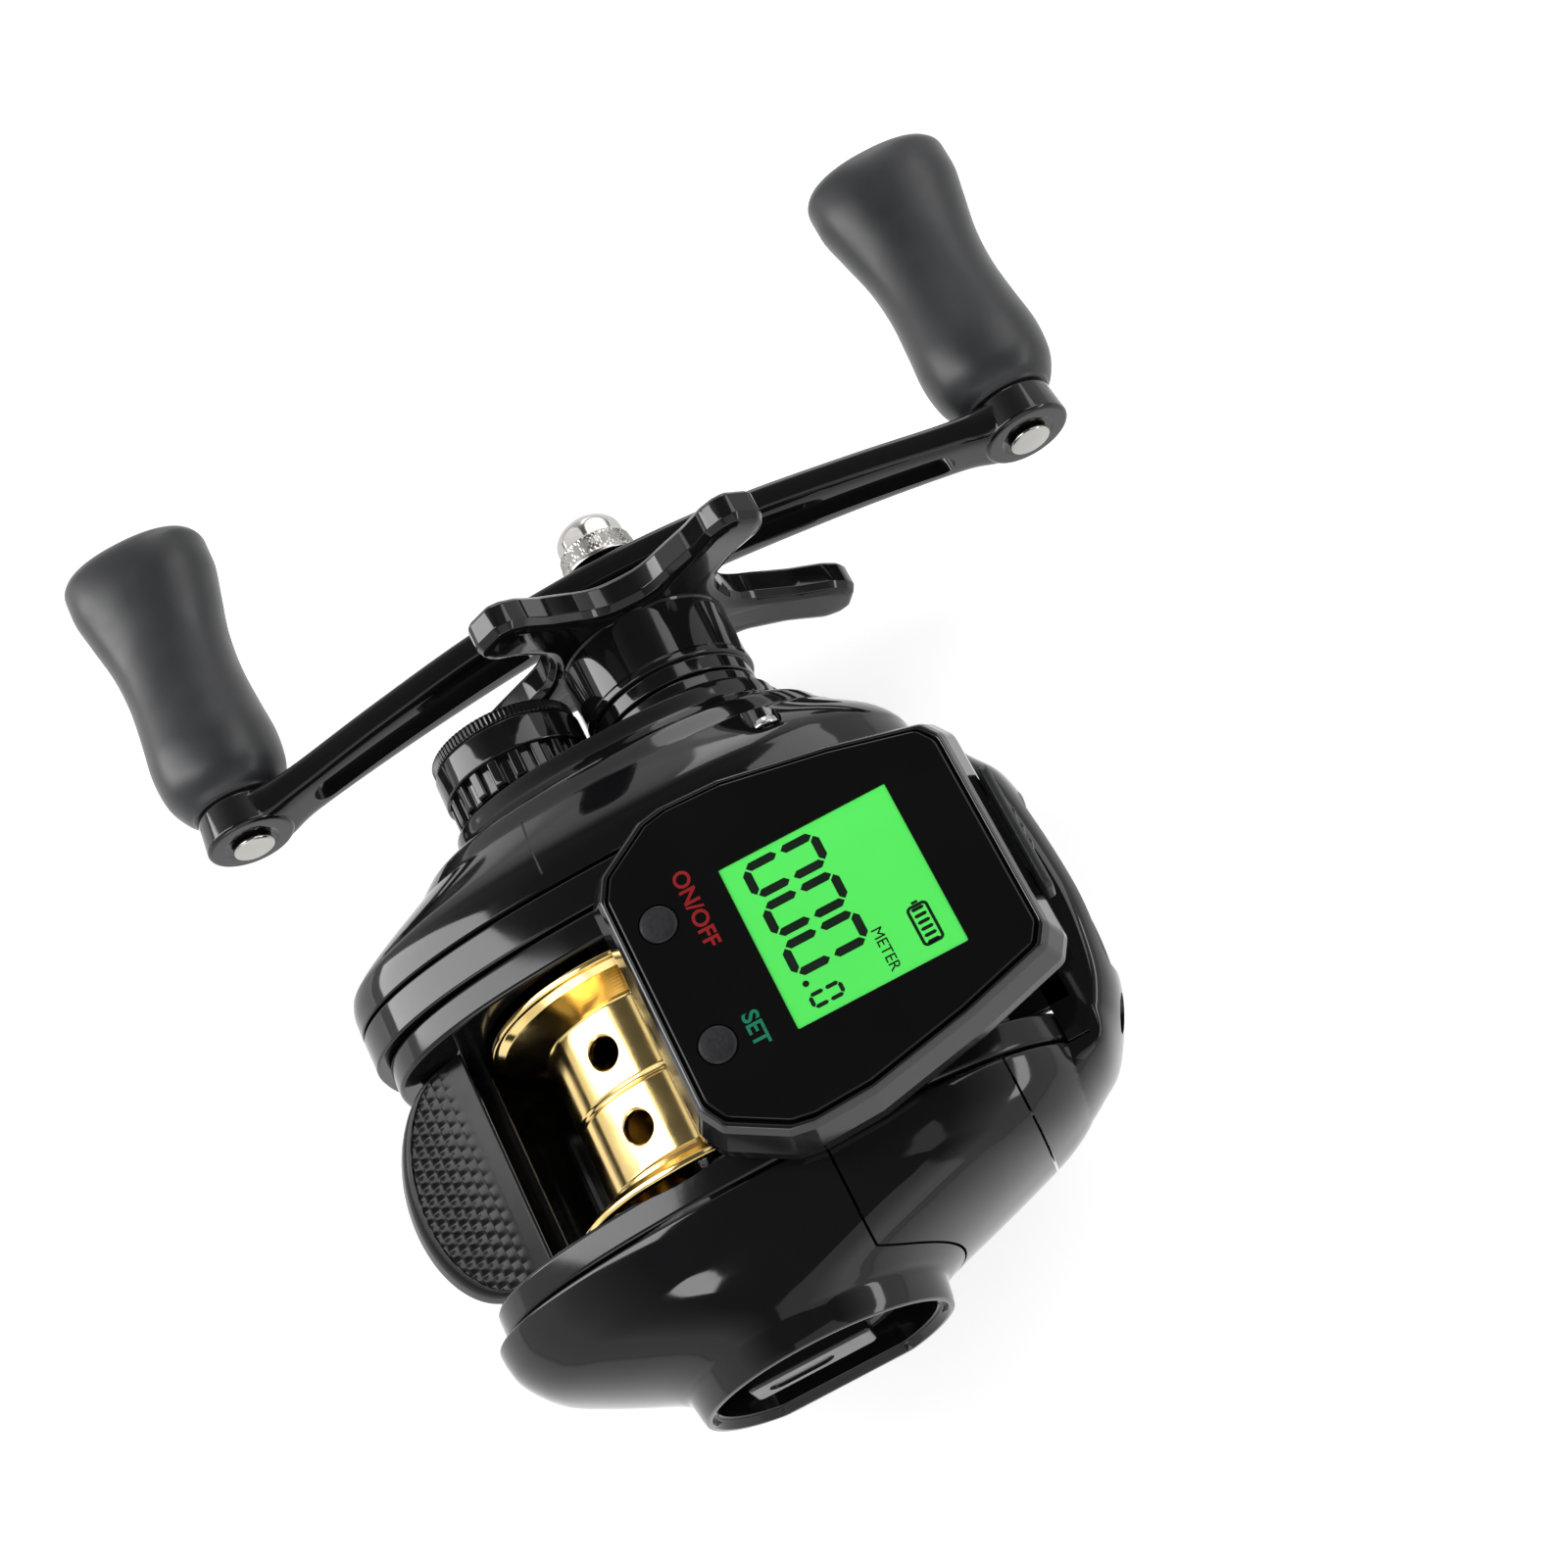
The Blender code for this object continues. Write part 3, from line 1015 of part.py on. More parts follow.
def handle_arm():
    """A swept double crank with a long slot in each half and an eye at each end."""
    corner_shares = [(1, 0.55), (0.75, 1), (-0.75, 1), (-1, 0.55), (-1, -0.55), (-0.75, -1), (0.75, -1),
                     (1, -0.55)]
    rings = []
    for along, sweep, wide, thick in handle_station_shares():
        ahead = CRANK_AHEAD + along * HANDLE_SPAN / 2
        thickness = thick * HANDLE_EYE_THICKNESS
        middle = HANDLE_IN - sweep * HANDLE_SWEEP + HANDLE_EYE_THICKNESS / 2
        ring = []
        for cw, ct in corner_shares:
            ring.append(place(-middle + ct * thickness / 2, ahead,
                              -CRANK_DROP + cw * wide * HANDLE_WIDTH / 2))
        rings.append(ring)
    arm = loft("handle_arm", rings, BLACK_GLOSS)
    low, high = -HANDLE_OUT - 2 * HANDLE_SWEEP, -EYE_IN + HANDLE_SWEEP
    slot_end = HANDLE_SPAN / 2 - HANDLE_SLOT_END_MARGIN
    for side in (1, -1):
        slot = []
        for start, turn in ((HANDLE_SLOT_START, 1), (slot_end, -1)):
            for i in range(END_STEPS + 1):
                a = math.pi / 2 + math.pi * i / END_STEPS
                radius = HANDLE_SLOT_WIDTH / 2
                slot.append((CRANK_AHEAD + side * (start + turn * radius * math.cos(a)),
                             -CRANK_DROP + turn * radius * math.sin(a)))
        cut(arm, prism("slot", slot, low, high, BLACK_GLOSS))
        ahead = CRANK_AHEAD + side * HANDLE_SPAN / 2
        cut(arm, rod("bore", low, high, PIN_RADIUS + GAP, BLACK_GLOSS, ahead, -CRANK_DROP, TINY_STEPS))
    cut(arm, rod("bore", low, high, CRANK_RADIUS + GAP, BLACK_GLOSS, CRANK_AHEAD, -CRANK_DROP))
    return hinge_at(arm, place(-HANDLE_IN, CRANK_AHEAD, -CRANK_DROP))


def handle_nut():
    """The bright dome nut on the crank's end."""
    start = HANDLE_IN + (1 + HANDLE_HUB_SHARE) * HANDLE_EYE_THICKNESS / 2 + GAP
    dome_shares = [(0.0, 1.0), (0.67, 0.82), (1.0, 0.5), (1.0, 0.0)]
    profile = [(-start, NUT_RADIUS)]
    profile += [(-start - NUT_LENGTH + NUT_DOME - share * NUT_DOME, wide * NUT_RADIUS)
                for share, wide in dome_shares]
    nut = turned("handle_nut", profile, CHROME, CRANK_AHEAD, -CRANK_DROP, TINY_STEPS)
    end = HANDLE_OUT + NUT_LENGTH / 2 + GAP
    cut(nut, rod("bore", -end, -start + OVERRUN, CRANK_RADIUS + GAP, CHROME, CRANK_AHEAD, -CRANK_DROP))
    return nut


def knob(name, side):
    """A soft paddle knob, waisted above its collar and flattened towards its tip, on its pin."""
    ahead = CRANK_AHEAD + side * HANDLE_SPAN / 2
    station_shares = [(0.0, 0.54, 0.72), (0.03, 0.70, 0.92), (0.10, 0.81, 1.05), (0.22, 0.84, 1.06),
                      (0.42, 0.76, 0.94), (0.60, 0.80, 0.90), (0.76, 0.93, 0.97), (0.88, 1.0, 1.0),
                      (0.95, 0.95, 0.92), (0.985, 0.80, 0.72), (1.0, 0.50, 0.42)]
    rings = []
    for along, wide, thick in station_shares:
        angles = [2 * math.pi * i / SMALL_STEPS for i in range(SMALL_STEPS)]
        rings.append([place(-KNOB_IN - along * KNOB_LENGTH, ahead + wide * KNOB_TIP_WIDTH / 2 * math.cos(a),
                            -CRANK_DROP + thick * KNOB_TIP_THICKNESS / 2 * math.sin(a)) for a in angles])
    grip = loft("handle_knob_" + name, rings, RUBBER)
    end = KNOB_OUT - KNOB_CAP_WALL
    cut(grip, rod("bore", -end, -KNOB_IN + OVERRUN, PIN_RADIUS + GAP, RUBBER, ahead, -CRANK_DROP,
                  TINY_STEPS))
    hinge_at(smooth(grip), place(-KNOB_IN, ahead, -CRANK_DROP))
    head = EYE_IN - GAP
    profile = [(-end + GAP, 0), (-end + GAP, PIN_RADIUS), (-head, PIN_RADIUS), (-head, PIN_HEAD_RADIUS),
               (-head + PIN_HEAD, PIN_HEAD_RADIUS * PIN_CROWN_SHARE), (-head + PIN_HEAD, 0)]
    smooth(turned("knob_pin_" + name, profile, CHROME, ahead, -CRANK_DROP, TINY_STEPS))


def palm_stations(inset):
    """The palm side as (x, outline) pairs, drawn in from the body's outline to the round boss."""
    blend_shares = [(0.0, 0.0, 0.6), (0.18, 0.0, 1.0), (0.34, 0.10, 1.5), (0.46, 0.28, 1.3),
                    (0.60, 0.58, 0.8), (0.72, 0.84, 0.3), (0.82, 1.0, 0.0), (0.97, 1.0, 0.0),
                    (1.0, 1.0, -1.2)]
    stations = []
    for depth, blend, tuck in blend_shares:
        tuck_in = tuck * EDGE_ROUND
        drawn = inset + tuck_in
        body = body_outline(BODY_BACK - drawn, BODY_FRONT - drawn, BODY_TOP - drawn, FRAME_BOTTOM - drawn)
        radius = DIAL_BOSS_RADIUS + (1 - depth) * DIAL_BOSS_TAPER - inset - max(0, -tuck) * EDGE_ROUND
        boss = flattened_outline(radius, radius - DIAL_BOSS_RADIUS + DIAL_BOSS_FLAT)
        outline = [(b[0] + blend * (c[0] - b[0]), b[1] + blend * (c[1] - b[1])) for b, c in zip(body, boss)]
        stations.append((PALM_IN + depth * PALM_DEPTH, outline))
    return stations


def palm_shell(name):
    """The whole palm side as one shell, before its seams part it."""
    rings = [[place(x, a, r) for a, r in outline] for x, outline in palm_stations(0)]
    shell = loft(name, rings, BLACK_GLOSS)
    kept = [(x, outline) for x, outline in palm_stations(PALM_WALL) if x < PALM_CAVITY]
    hollow = [[place(x, a, r) for a, r in outline] for x, outline in kept]
    hollow[0] = [place(PALM_IN - OVERRUN, a, r) for a, r in kept[0][1]]
    return cut(shell, loft("hollow", hollow, BLACK_GLOSS))


def seam_cutter(ahead0, ahead1, radius):
    """The region ahead of a seam and outside the boss."""
    high = BODY_TOP + FRAME_BOTTOM
    region = block("region", PALM_IN - 2 * OVERRUN, PALM_OUT + OVERRUN, ahead0, ahead1, -high, high,
                   BLACK_GLOSS)
    return cut(region, rod("boss", PALM_IN - 3 * OVERRUN, PALM_OUT + 2 * OVERRUN, radius, BLACK_GLOSS,
                           DIAL_AHEAD, DIAL_RISE, OUTLINE_STEPS))


def palm_side():
    """The removable palm cover with its dial boss, and the fixed panel in front of it."""
    far = NOSE_FRONT + NOSE_REACH
    cover = palm_shell("palm_side_cover")
    cut(cover, seam_cutter(PANEL_SEAM, far, PANEL_SEAM_RADIUS))
    panel = palm_shell("palm_front_panel")
    boolean(panel, seam_cutter(PANEL_SEAM + GAP, NOSE_SEAM, PANEL_SEAM_RADIUS + GAP), "INTERSECT")

    seat_out = PALM_IN + GAP + SEAT_DEPTH
    seat_radius = BEARING_RADIUS + GAP + SEAT_WALL
    join(cover, rod("seat", PALM_IN, PALM_CAVITY + PALM_WALL / 2, seat_radius, BLACK_GLOSS,
                    steps=ROUND_STEPS))
    cut(cover, rod("bore", PALM_IN - OVERRUN, seat_out, BEARING_RADIUS + GAP, BLACK_GLOSS,
                   steps=ROUND_STEPS))
    recess = flattened_outline(DIAL_RECESS_RADIUS, DIAL_BOSS_FLAT - DIAL_BOSS_WALL)
    cut(cover, prism("recess", recess, RECESS_FLOOR, PALM_OUT + OVERRUN, BLACK_GLOSS))
    stem_end = RECESS_FLOOR - DIAL_STEM_LENGTH
    cut(cover, rod("bore", stem_end, RECESS_FLOOR + OVERRUN, DIAL_STEM_RADIUS + GAP, BLACK_GLOSS,
                   DIAL_AHEAD, DIAL_RISE))
    return cover


def brake_parts():
    """Dial, number plate and the magnet ring that the dial pushes towards the spool."""
    floor = RECESS_FLOOR + GAP
    top = floor + DIAL_THICKNESS
    outline = wavy_outline(DIAL_RADIUS, DIAL_KNURL, DIAL_KNURL_COUNT, DIAL_AHEAD, DIAL_RISE)
    dial = prism("brake_dial", outline, floor, top, BLACK_SATIN)
    middle = DIAL_AHEAD - DIAL_GRIP_SETBACK
    join(dial, block("grip", top - EDGE_ROUND, top + DIAL_GRIP_RISE, middle - DIAL_GRIP_LENGTH / 2,
                     middle + DIAL_GRIP_LENGTH / 2, DIAL_RISE - DIAL_GRIP_WIDTH / 2,
                     DIAL_RISE + DIAL_GRIP_WIDTH / 2, BLACK_SATIN))
    stem_end = RECESS_FLOOR - DIAL_STEM_LENGTH + GAP
    join(dial, rod("stem", stem_end, floor + EDGE_ROUND, DIAL_STEM_RADIUS, BLACK_SATIN, DIAL_AHEAD,
                   DIAL_RISE))
    hinge_at(dial, place(floor, DIAL_AHEAD, DIAL_RISE))

    outer_radius = DIAL_RECESS_RADIUS - GAP
    inner_radius = DIAL_RADIUS + GAP
    arc = [math.radians(NUMBER_PLATE_START + (NUMBER_PLATE_END - NUMBER_PLATE_START) * i / PLATE_STEPS)
           for i in range(PLATE_STEPS + 1)]
    plate = [(DIAL_AHEAD + outer_radius * math.cos(a), DIAL_RISE + outer_radius * math.sin(a)) for a in arc]
    plate += [(DIAL_AHEAD + inner_radius * math.cos(a), DIAL_RISE + inner_radius * math.sin(a))
              for a in reversed(arc)]
    prism("dial_number_plate", plate, floor, floor + NUMBER_PLATE_THICKNESS, SILVER_GREY)

    ring_in = FRAME_IN + MAGNET_START
    ring_out = ring_in + MAGNET_RING_THICKNESS
    bore = BEARING_RADIUS + GAP + SEAT_WALL + GAP
    sleeve_radius = bore + MAGNET_SLEEVE_WALL
    profile = [(ring_in, MAGNET_RING_RADIUS), (ring_out, MAGNET_RING_RADIUS), (ring_out, sleeve_radius),
               (ring_out + MAGNET_SLEEVE_LENGTH, sleeve_radius), (ring_out + MAGNET_SLEEVE_LENGTH, bore),
               (ring_in, bore)]
    smooth(turned("magnet_ring", profile, BLACK_SATIN, ring=True))


def nose_outline(inset):
    """The plan of the nose from its gear end round the palm corner, moved in along its own normals."""
    plan_shares = [(-0.94, 0.18), (-0.87, 0.34), (-0.75, 0.60), (-0.60, 0.83), (-0.28, 0.95), (0.08, 1.0),
                   (0.46, 0.86), (0.67, 0.63), (0.85, 0.27), (0.96, -0.14), (1.04, -0.56), (1.06, -0.93)]
    plan = [Vector((sx * NOSE_HALF_WIDTH, BODY_FRONT + sy * NOSE_REACH)) for sx, sy in plan_shares]
    moved = []
    for i, point in enumerate(plan):
        along = plan[min(i + 1, len(plan) - 1)] - plan[max(i - 1, 0)]
        moved.append(point + inset * Vector((along.y, -along.x)).normalized())
    return [(point.x, point.y) for point in moved]


def nose_cover():
    """The hood across the front with the line opening, and the palm-side corner that it wraps round."""
    back = BODY_FRONT + 2 * GAP
    palm_end = NOSE_SEAM + GAP + NOSE_LAP
    shoulder = PALM_IN + GAP + NOSE_WALL / 2
    layer_shares = [(-1.0, 0.86), (-0.82, 0.34), (-0.45, 0.06), (-0.1, 0.0), (0.3, 0.04), (0.62, 0.22),
                    (0.85, 0.58), (1.0, 1.0)]
    layers = []
    for high, tuck in layer_shares:
        outer = nose_outline(tuck * NOSE_ROUND)
        front = [(x, ahead if x > shoulder else max(back + NOSE_WALL / 2, ahead)) for x, ahead in outer[:-1]]
        inner = [(outer[-1][0], palm_end), (PALM_IN + GAP, palm_end), (PALM_IN + GAP, back),
                 (front[0][0], back)]
        layers.append((high * (NOSE_TOP if high > 0 else NOSE_BOTTOM), front + inner))
    nose = upright("nose_cover", layers, BLACK_GLOSS)
    reach = (WINDOW_WIDTH + NOSE_WALL) / 2
    cut(nose, block("hollow", -reach, reach, back - OVERRUN, NOSE_FRONT - 2 * NOSE_WALL,
                    -NOSE_BOTTOM + NOSE_WALL, NOSE_TOP - NOSE_WALL, BLACK_GLOSS))
    cut(nose, block("window", -WINDOW_WIDTH / 2, WINDOW_WIDTH / 2, back - OVERRUN, NOSE_FRONT + OVERRUN,
                    -WINDOW_BOTTOM, WINDOW_TOP, BLACK_GLOSS))
    corner = palm_shell("corner")
    beyond = seam_cutter(NOSE_SEAM + GAP, NOSE_FRONT + NOSE_REACH, PANEL_SEAM_RADIUS + GAP)
    boolean(corner, beyond, "INTERSECT")
    join(nose, corner)
    for x in nose_screw_places():
        cut(nose, forward_rod("hole", x, 0, BODY_FRONT - OVERRUN, NOSE_FRONT + OVERRUN, SCREW_SHANK + GAP,
                              BLACK_GLOSS))
        cut(nose, forward_rod("sink", x, 0, back + NOSE_WALL / 2, NOSE_FRONT + OVERRUN,
                              SCREW_HEAD_RADIUS + GAP, BLACK_GLOSS))
    for name, x in zip(("gear", "palm"), nose_screw_places()):
        seat = back + NOSE_WALL / 2 + GAP
        forward_screw("nose_screw_" + name, x, 0, seat, seat - BODY_FRONT + NOSE_SCREW_LENGTH - GAP)
    return nose


def forward_screw(name, x, rise, seat, length):
    """A screw along Y with its head in front of the seat."""
    rings = []
    stations = [(seat - length, SCREW_SHANK), (seat, SCREW_SHANK), (seat, SCREW_HEAD_RADIUS),
                (seat + SCREW_HEAD / 2, SCREW_HEAD_RADIUS),
                (seat + SCREW_HEAD, SCREW_HEAD_RADIUS * SCREW_CROWN_SHARE)]
    for ahead, radius in stations:
        angles = [2 * math.pi * i / TINY_STEPS for i in range(TINY_STEPS)]
        rings.append([place(x + radius * math.cos(a), ahead, rise + radius * math.sin(a)) for a in angles])
    return smooth(loft(name, rings, STEEL))


def level_wind():
    """Worm shaft in its slotted guard, guide rod, and the guide that travels along them."""
    worm = {"ahead": WORM_AHEAD, "rise": -WORM_DROP}
    half = FRAME_IN - WORM_END_GAP
    profile = [(-COG_OUT - GAP, WORM_JOURNAL), (-half, WORM_JOURNAL), (-half, WORM_RADIUS),
               (half, WORM_RADIUS), (half, WORM_JOURNAL), (FRAME_OUT - GAP, WORM_JOURNAL)]
    smooth(turned("worm_shaft", profile, STEEL, steps=SMALL_STEPS, **worm))
    length = FRAME_IN - GAP
    guard = tube("worm_guard", -length, length, GUARD_BORE, GUARD_RADIUS, BLACK_SATIN, **worm)
    cut(guard, block("slot", -length + GUARD_SLOT_END, length - GUARD_SLOT_END, WORM_AHEAD - GUARD_SLOT / 2,
                     WORM_AHEAD + GUARD_SLOT / 2, -WORM_DROP - GUARD_RADIUS - OVERRUN, -WORM_DROP,
                     BLACK_SATIN))
    smooth(rod("guide_rod", -FRAME_OUT + GAP, FRAME_OUT - GAP, GUIDE_ROD_RADIUS, STEEL, GUIDE_ROD_AHEAD,
               -GUIDE_ROD_DROP, TINY_STEPS))
    x = GUIDE_WIDTH / 2
    sleeve = GUARD_RADIUS + GAP + GUIDE_WALL
    guide = rod("line_guide", -x, x, sleeve, SILVER_GREY, steps=ROUND_STEPS, **worm)
    eye_rise = -WORM_DROP + GUIDE_EYE_RISE
    tower = GUIDE_TOWER_WIDTH / 2
    join(guide, block("tower", -x, x, WORM_AHEAD - tower, WORM_AHEAD + tower, -WORM_DROP,
                      eye_rise + GUIDE_EYE_RADIUS, SILVER_GREY))
    join(guide, rod("lug", -x, x, GUIDE_LUG_RADIUS, SILVER_GREY, GUIDE_ROD_AHEAD, -GUIDE_ROD_DROP))
    join(guide, block("bridge", -x, x, GUIDE_ROD_AHEAD, WORM_AHEAD - PAWL_RADIUS - 2 * GAP,
                      -GUIDE_ROD_DROP, -WORM_DROP, SILVER_GREY))
    cut(guide, rod("bore", -x - OVERRUN, x + OVERRUN, GUARD_RADIUS + GAP, SILVER_GREY, steps=ROUND_STEPS,
                   **worm))
    cut(guide, rod("bore", -x - OVERRUN, x + OVERRUN, GUIDE_ROD_RADIUS + GAP, SILVER_GREY, GUIDE_ROD_AHEAD,
                   -GUIDE_ROD_DROP))
    cut(guide, upright_rod("bore", SPOOL_Y + WORM_AHEAD, SPOOL_Z - WORM_DROP - sleeve - OVERRUN,
                           SPOOL_Z - WORM_DROP - GUARD_BORE, PAWL_RADIUS + GAP, SILVER_GREY))
    cut(guide, forward_rod("eye", 0, eye_rise, WORM_AHEAD - tower - OVERRUN, WORM_AHEAD + tower + OVERRUN,
                           GUIDE_RING_RADIUS + GAP, SILVER_GREY))
    hinge_at(guide, place(0, WORM_AHEAD, -WORM_DROP))
    top = SPOOL_Z - WORM_DROP - WORM_RADIUS - GAP
    smooth(upright_rod("levelwind_pawl", SPOOL_Y + WORM_AHEAD, top - PAWL_LENGTH, top, PAWL_RADIUS, STEEL))
    ring = forward_rod("guide_ring", 0, eye_rise, WORM_AHEAD - GUIDE_RING_WIDTH / 2,
                       WORM_AHEAD + GUIDE_RING_WIDTH / 2, GUIDE_RING_RADIUS, CERAMIC)
    cut(ring, forward_rod("bore", 0, eye_rise, WORM_AHEAD - GUIDE_RING_WIDTH, WORM_AHEAD + GUIDE_RING_WIDTH,
                          GUIDE_RING_BORE, CERAMIC))


def thumb_bar():
    """The clutch bar: a sloping D-shaped pad with an arm at each end that runs beside the frame."""
    slope = math.radians(THUMB_SLOPE)
    half = FRAME_IN - GAP
    start = -SPOOL_RADIUS - THUMB_SETBACK
    outline = [(half, 0), (half, THUMB_SQUARE_LENGTH)]
    for i in range(1, PAD_STEPS):
        a = math.pi * i / PAD_STEPS
        reach = THUMB_LENGTH - THUMB_SQUARE_LENGTH
        outline.append((half * math.cos(a), THUMB_SQUARE_LENGTH + reach * math.sin(a)))
    outline += [(-half, THUMB_SQUARE_LENGTH), (-half, 0)]
    rings = []
    for depth in (THUMB_THICKNESS, 0):
        ring = []
        for x, v in outline:
            ring.append(place(x, start - v * math.cos(slope) - depth * math.sin(slope),
                              THUMB_TOP - v * math.sin(slope) - depth * math.cos(slope)))
        rings.append(ring)
    bar = loft("thumb_bar", rings, BLACK_SATIN)
    for side in (1, -1):
        edges = sorted((side * half, side * (half - THUMB_ARM_THICKNESS)))
        behind = start - THUMB_ARM_SETBACK
        top = THUMB_TOP - THUMB_THICKNESS - THUMB_ARM_SETBACK * math.tan(slope)
        join(bar, block("arm", edges[0], edges[1], behind - THUMB_ARM_WIDTH, behind, -THUMB_ARM_DROP + top,
                        top, BLACK_SATIN))
    return hinge_at(bar, place(0, start, THUMB_TOP))


def display_outline(margin):
    """The eight-sided outline of the display, grown or shrunk all round by a margin."""
    edge_shares = [(0.66, 0.0), (0.78, 0.03), (0.98, 0.19), (1.0, 0.24), (0.99, 0.40), (0.86, 0.72),
                   (0.71, 0.96), (0.60, 1.0)]
    points = []
    for side in (1, -1):
        ordered = edge_shares if side > 0 else edge_shares[::-1]
        for wide, along in ordered:
            x = -DISPLAY_OFFSET + side * wide * (GLASS_HALF_WIDTH + margin)
            points.append((x, DISPLAY_REAR - margin + along * (GLASS_LENGTH + 2 * margin)))
    return points


def display_housing():
    """The shell round the display: flared, open below, with a ledge for the glass."""
    layers = [(HOUSING_BOTTOM, display_outline(HOUSING_FOOT_FLARE)),
              (HOUSING_BOTTOM + HOUSING_HEIGHT * HOUSING_FLARE_SHARE, display_outline(HOUSING_FLARE)),
              (HOUSING_TOP - HOUSING_LIP, display_outline(HOUSING_SHOULDER)),
              (HOUSING_TOP, display_outline(HOUSING_LIP))]
    housing = upright("display_housing", layers, BLACK_SATIN)
    inner = display_outline(-HOUSING_WALL_INSET)
    ledge = GLASS_BOTTOM - GAP
    layers = [(HOUSING_BOTTOM - OVERRUN, inner), (HOUSING_TOP + OVERRUN, inner)]
    cut(housing, upright("hollow", layers, BLACK_SATIN))
    pocket = display_outline(GAP)
    cut(housing, upright("pocket", [(ledge, pocket), (HOUSING_TOP + OVERRUN, pocket)], BLACK_SATIN))
    port = port_places()
    front = DISPLAY_REAR + GLASS_LENGTH
    reach = PORT_WIDTH / 2 + GAP
    cut(housing, block("port", -DISPLAY_OFFSET - reach, -DISPLAY_OFFSET + reach, front - PORT_LENGTH,
                       front + PORT_LENGTH, port[0] - GAP, port[1] + GAP, BLACK_SATIN))
    return housing


def port_places():
    """The charging port's lower and upper rise, under the board."""
    high = BOARD_BOTTOM + BOARD_THICKNESS / 4
    return high - PORT_HEIGHT, high


def display_parts():
    """Tray, battery, board, LCD, glass, buttons, port and flap."""
    tray = upright("display_tray", [(HOUSING_BOTTOM, display_outline(-HOUSING_WALL_INSET - GAP)),
                                    (TRAY_TOP, display_outline(-HOUSING_WALL_INSET - GAP))], BLACK_SATIN)
    deck_start = SPOOL_RADIUS + DECK_START
    deck_middle = deck_start + DECK_LENGTH / 2
    join(tray, block("keel", -KEEL_WIDTH / 2, KEEL_WIDTH / 2, deck_start, deck_start + DECK_LENGTH,
                     DECK_TOP + GAP, HOUSING_BOTTOM + TRAY_THICKNESS / 2, BLACK_SATIN))
    under = DECK_TOP - DECK_THICKNESS - GAP
    cut(tray, upright_rod("hole", SPOOL_Y + deck_middle, SPOOL_Z + DECK_TOP - OVERRUN,
                          SPOOL_Z + HOUSING_BOTTOM, SCREW_SHANK + GAP, BLACK_SATIN))
    stations = [(under - SCREW_HEAD, SCREW_HEAD_RADIUS * SCREW_CROWN_SHARE),
                (under - SCREW_HEAD / 2, SCREW_HEAD_RADIUS), (under, SCREW_HEAD_RADIUS),
                (under, SCREW_SHANK), (HOUSING_BOTTOM - GAP, SCREW_SHANK)]
    smooth(upright_turned("display_screw", stations, STEEL, 0, deck_middle, TINY_STEPS))

    centre = -DISPLAY_OFFSET
    battery_start = DISPLAY_REAR + HOUSING_WALL_INSET + BATTERY_AHEAD
    block("battery_cell", centre - BATTERY_SIZE / 2, centre + BATTERY_SIZE / 2, battery_start,
          battery_start + BATTERY_LENGTH, TRAY_TOP + GAP, BATTERY_TOP, SILVER_GREY)
    front = DISPLAY_REAR + GLASS_LENGTH
    board = block("circuit_board", centre - BOARD_WIDTH / 2, centre + BOARD_WIDTH / 2,
                  DISPLAY_REAR + BOARD_END_MARGIN, front - BOARD_END_MARGIN, BOARD_BOTTOM, BOARD_TOP,
                  GREEN_BOARD)
    lcd_top = GLASS_BOTTOM - GAP
    block("lcd_panel", centre - LCD_WIDTH / 2, centre + LCD_WIDTH / 2, DISPLAY_REAR + LCD_REAR_MARGIN,
          front - LCD_FRONT_MARGIN, lcd_top - LCD_THICKNESS, lcd_top, LCD_GREEN)

    pane = display_outline(0)
    glass = upright("display_glass", [(GLASS_BOTTOM, pane), (GLASS_TOP, pane)], GLASS)
    button_ahead = DISPLAY_REAR + BUTTON_AHEAD
    for name, side in (("power_button", -1), ("set_button", 1)):
        x = centre + side * BUTTON_SPREAD / 2
        cut(glass, upright_rod("hole", SPOOL_Y + button_ahead, SPOOL_Z + GLASS_BOTTOM - OVERRUN,
                               SPOOL_Z + GLASS_TOP + OVERRUN, BUTTON_RADIUS + GAP, GLASS, x, SMALL_STEPS))
        collar_top = GLASS_BOTTOM - GAP
        collar_bottom = collar_top - BUTTON_COLLAR_HEIGHT
        stem_bottom = BOARD_TOP + BUTTON_TRAVEL + GAP
        stations = [(stem_bottom, BUTTON_RADIUS), (collar_bottom, BUTTON_RADIUS),
                    (collar_bottom, BUTTON_COLLAR), (collar_top, BUTTON_COLLAR), (collar_top, BUTTON_RADIUS),
                    (GLASS_TOP + BUTTON_PROUD, BUTTON_RADIUS)]
        smooth(upright_turned(name, stations, DARK_GREY, x, button_ahead, SMALL_STEPS))

    low, high = port_places()
    port_end = front + HOUSING_FOOT_FLARE
    port = block("port", centre - PORT_WIDTH / 2, centre + PORT_WIDTH / 2, port_end - PORT_LENGTH, port_end,
                 low, high, GREEN_BOARD)
    cut(port, block("mouth", centre - PORT_WIDTH / 2 + PORT_WALL, centre + PORT_WIDTH / 2 - PORT_WALL,
                    port_end - PORT_LENGTH + PORT_WALL, port_end + OVERRUN, low + PORT_WALL,
                    high - PORT_WALL, GREEN_BOARD))
    join(board, port)
    flap_in = front + HOUSING_FLARE + GAP
    flap_low = low - (FLAP_HEIGHT - PORT_HEIGHT) / 2
    flap = block("port_cover", centre - FLAP_WIDTH / 2, centre + FLAP_WIDTH / 2, flap_in,
                 flap_in + FLAP_THICKNESS, flap_low, flap_low + FLAP_HEIGHT, RUBBER)
    hinge_at(flap, place(centre, flap_in + FLAP_THICKNESS / 2, flap_low))


for leftover in list(bpy.data.objects):
    bpy.data.objects.remove(leftover)

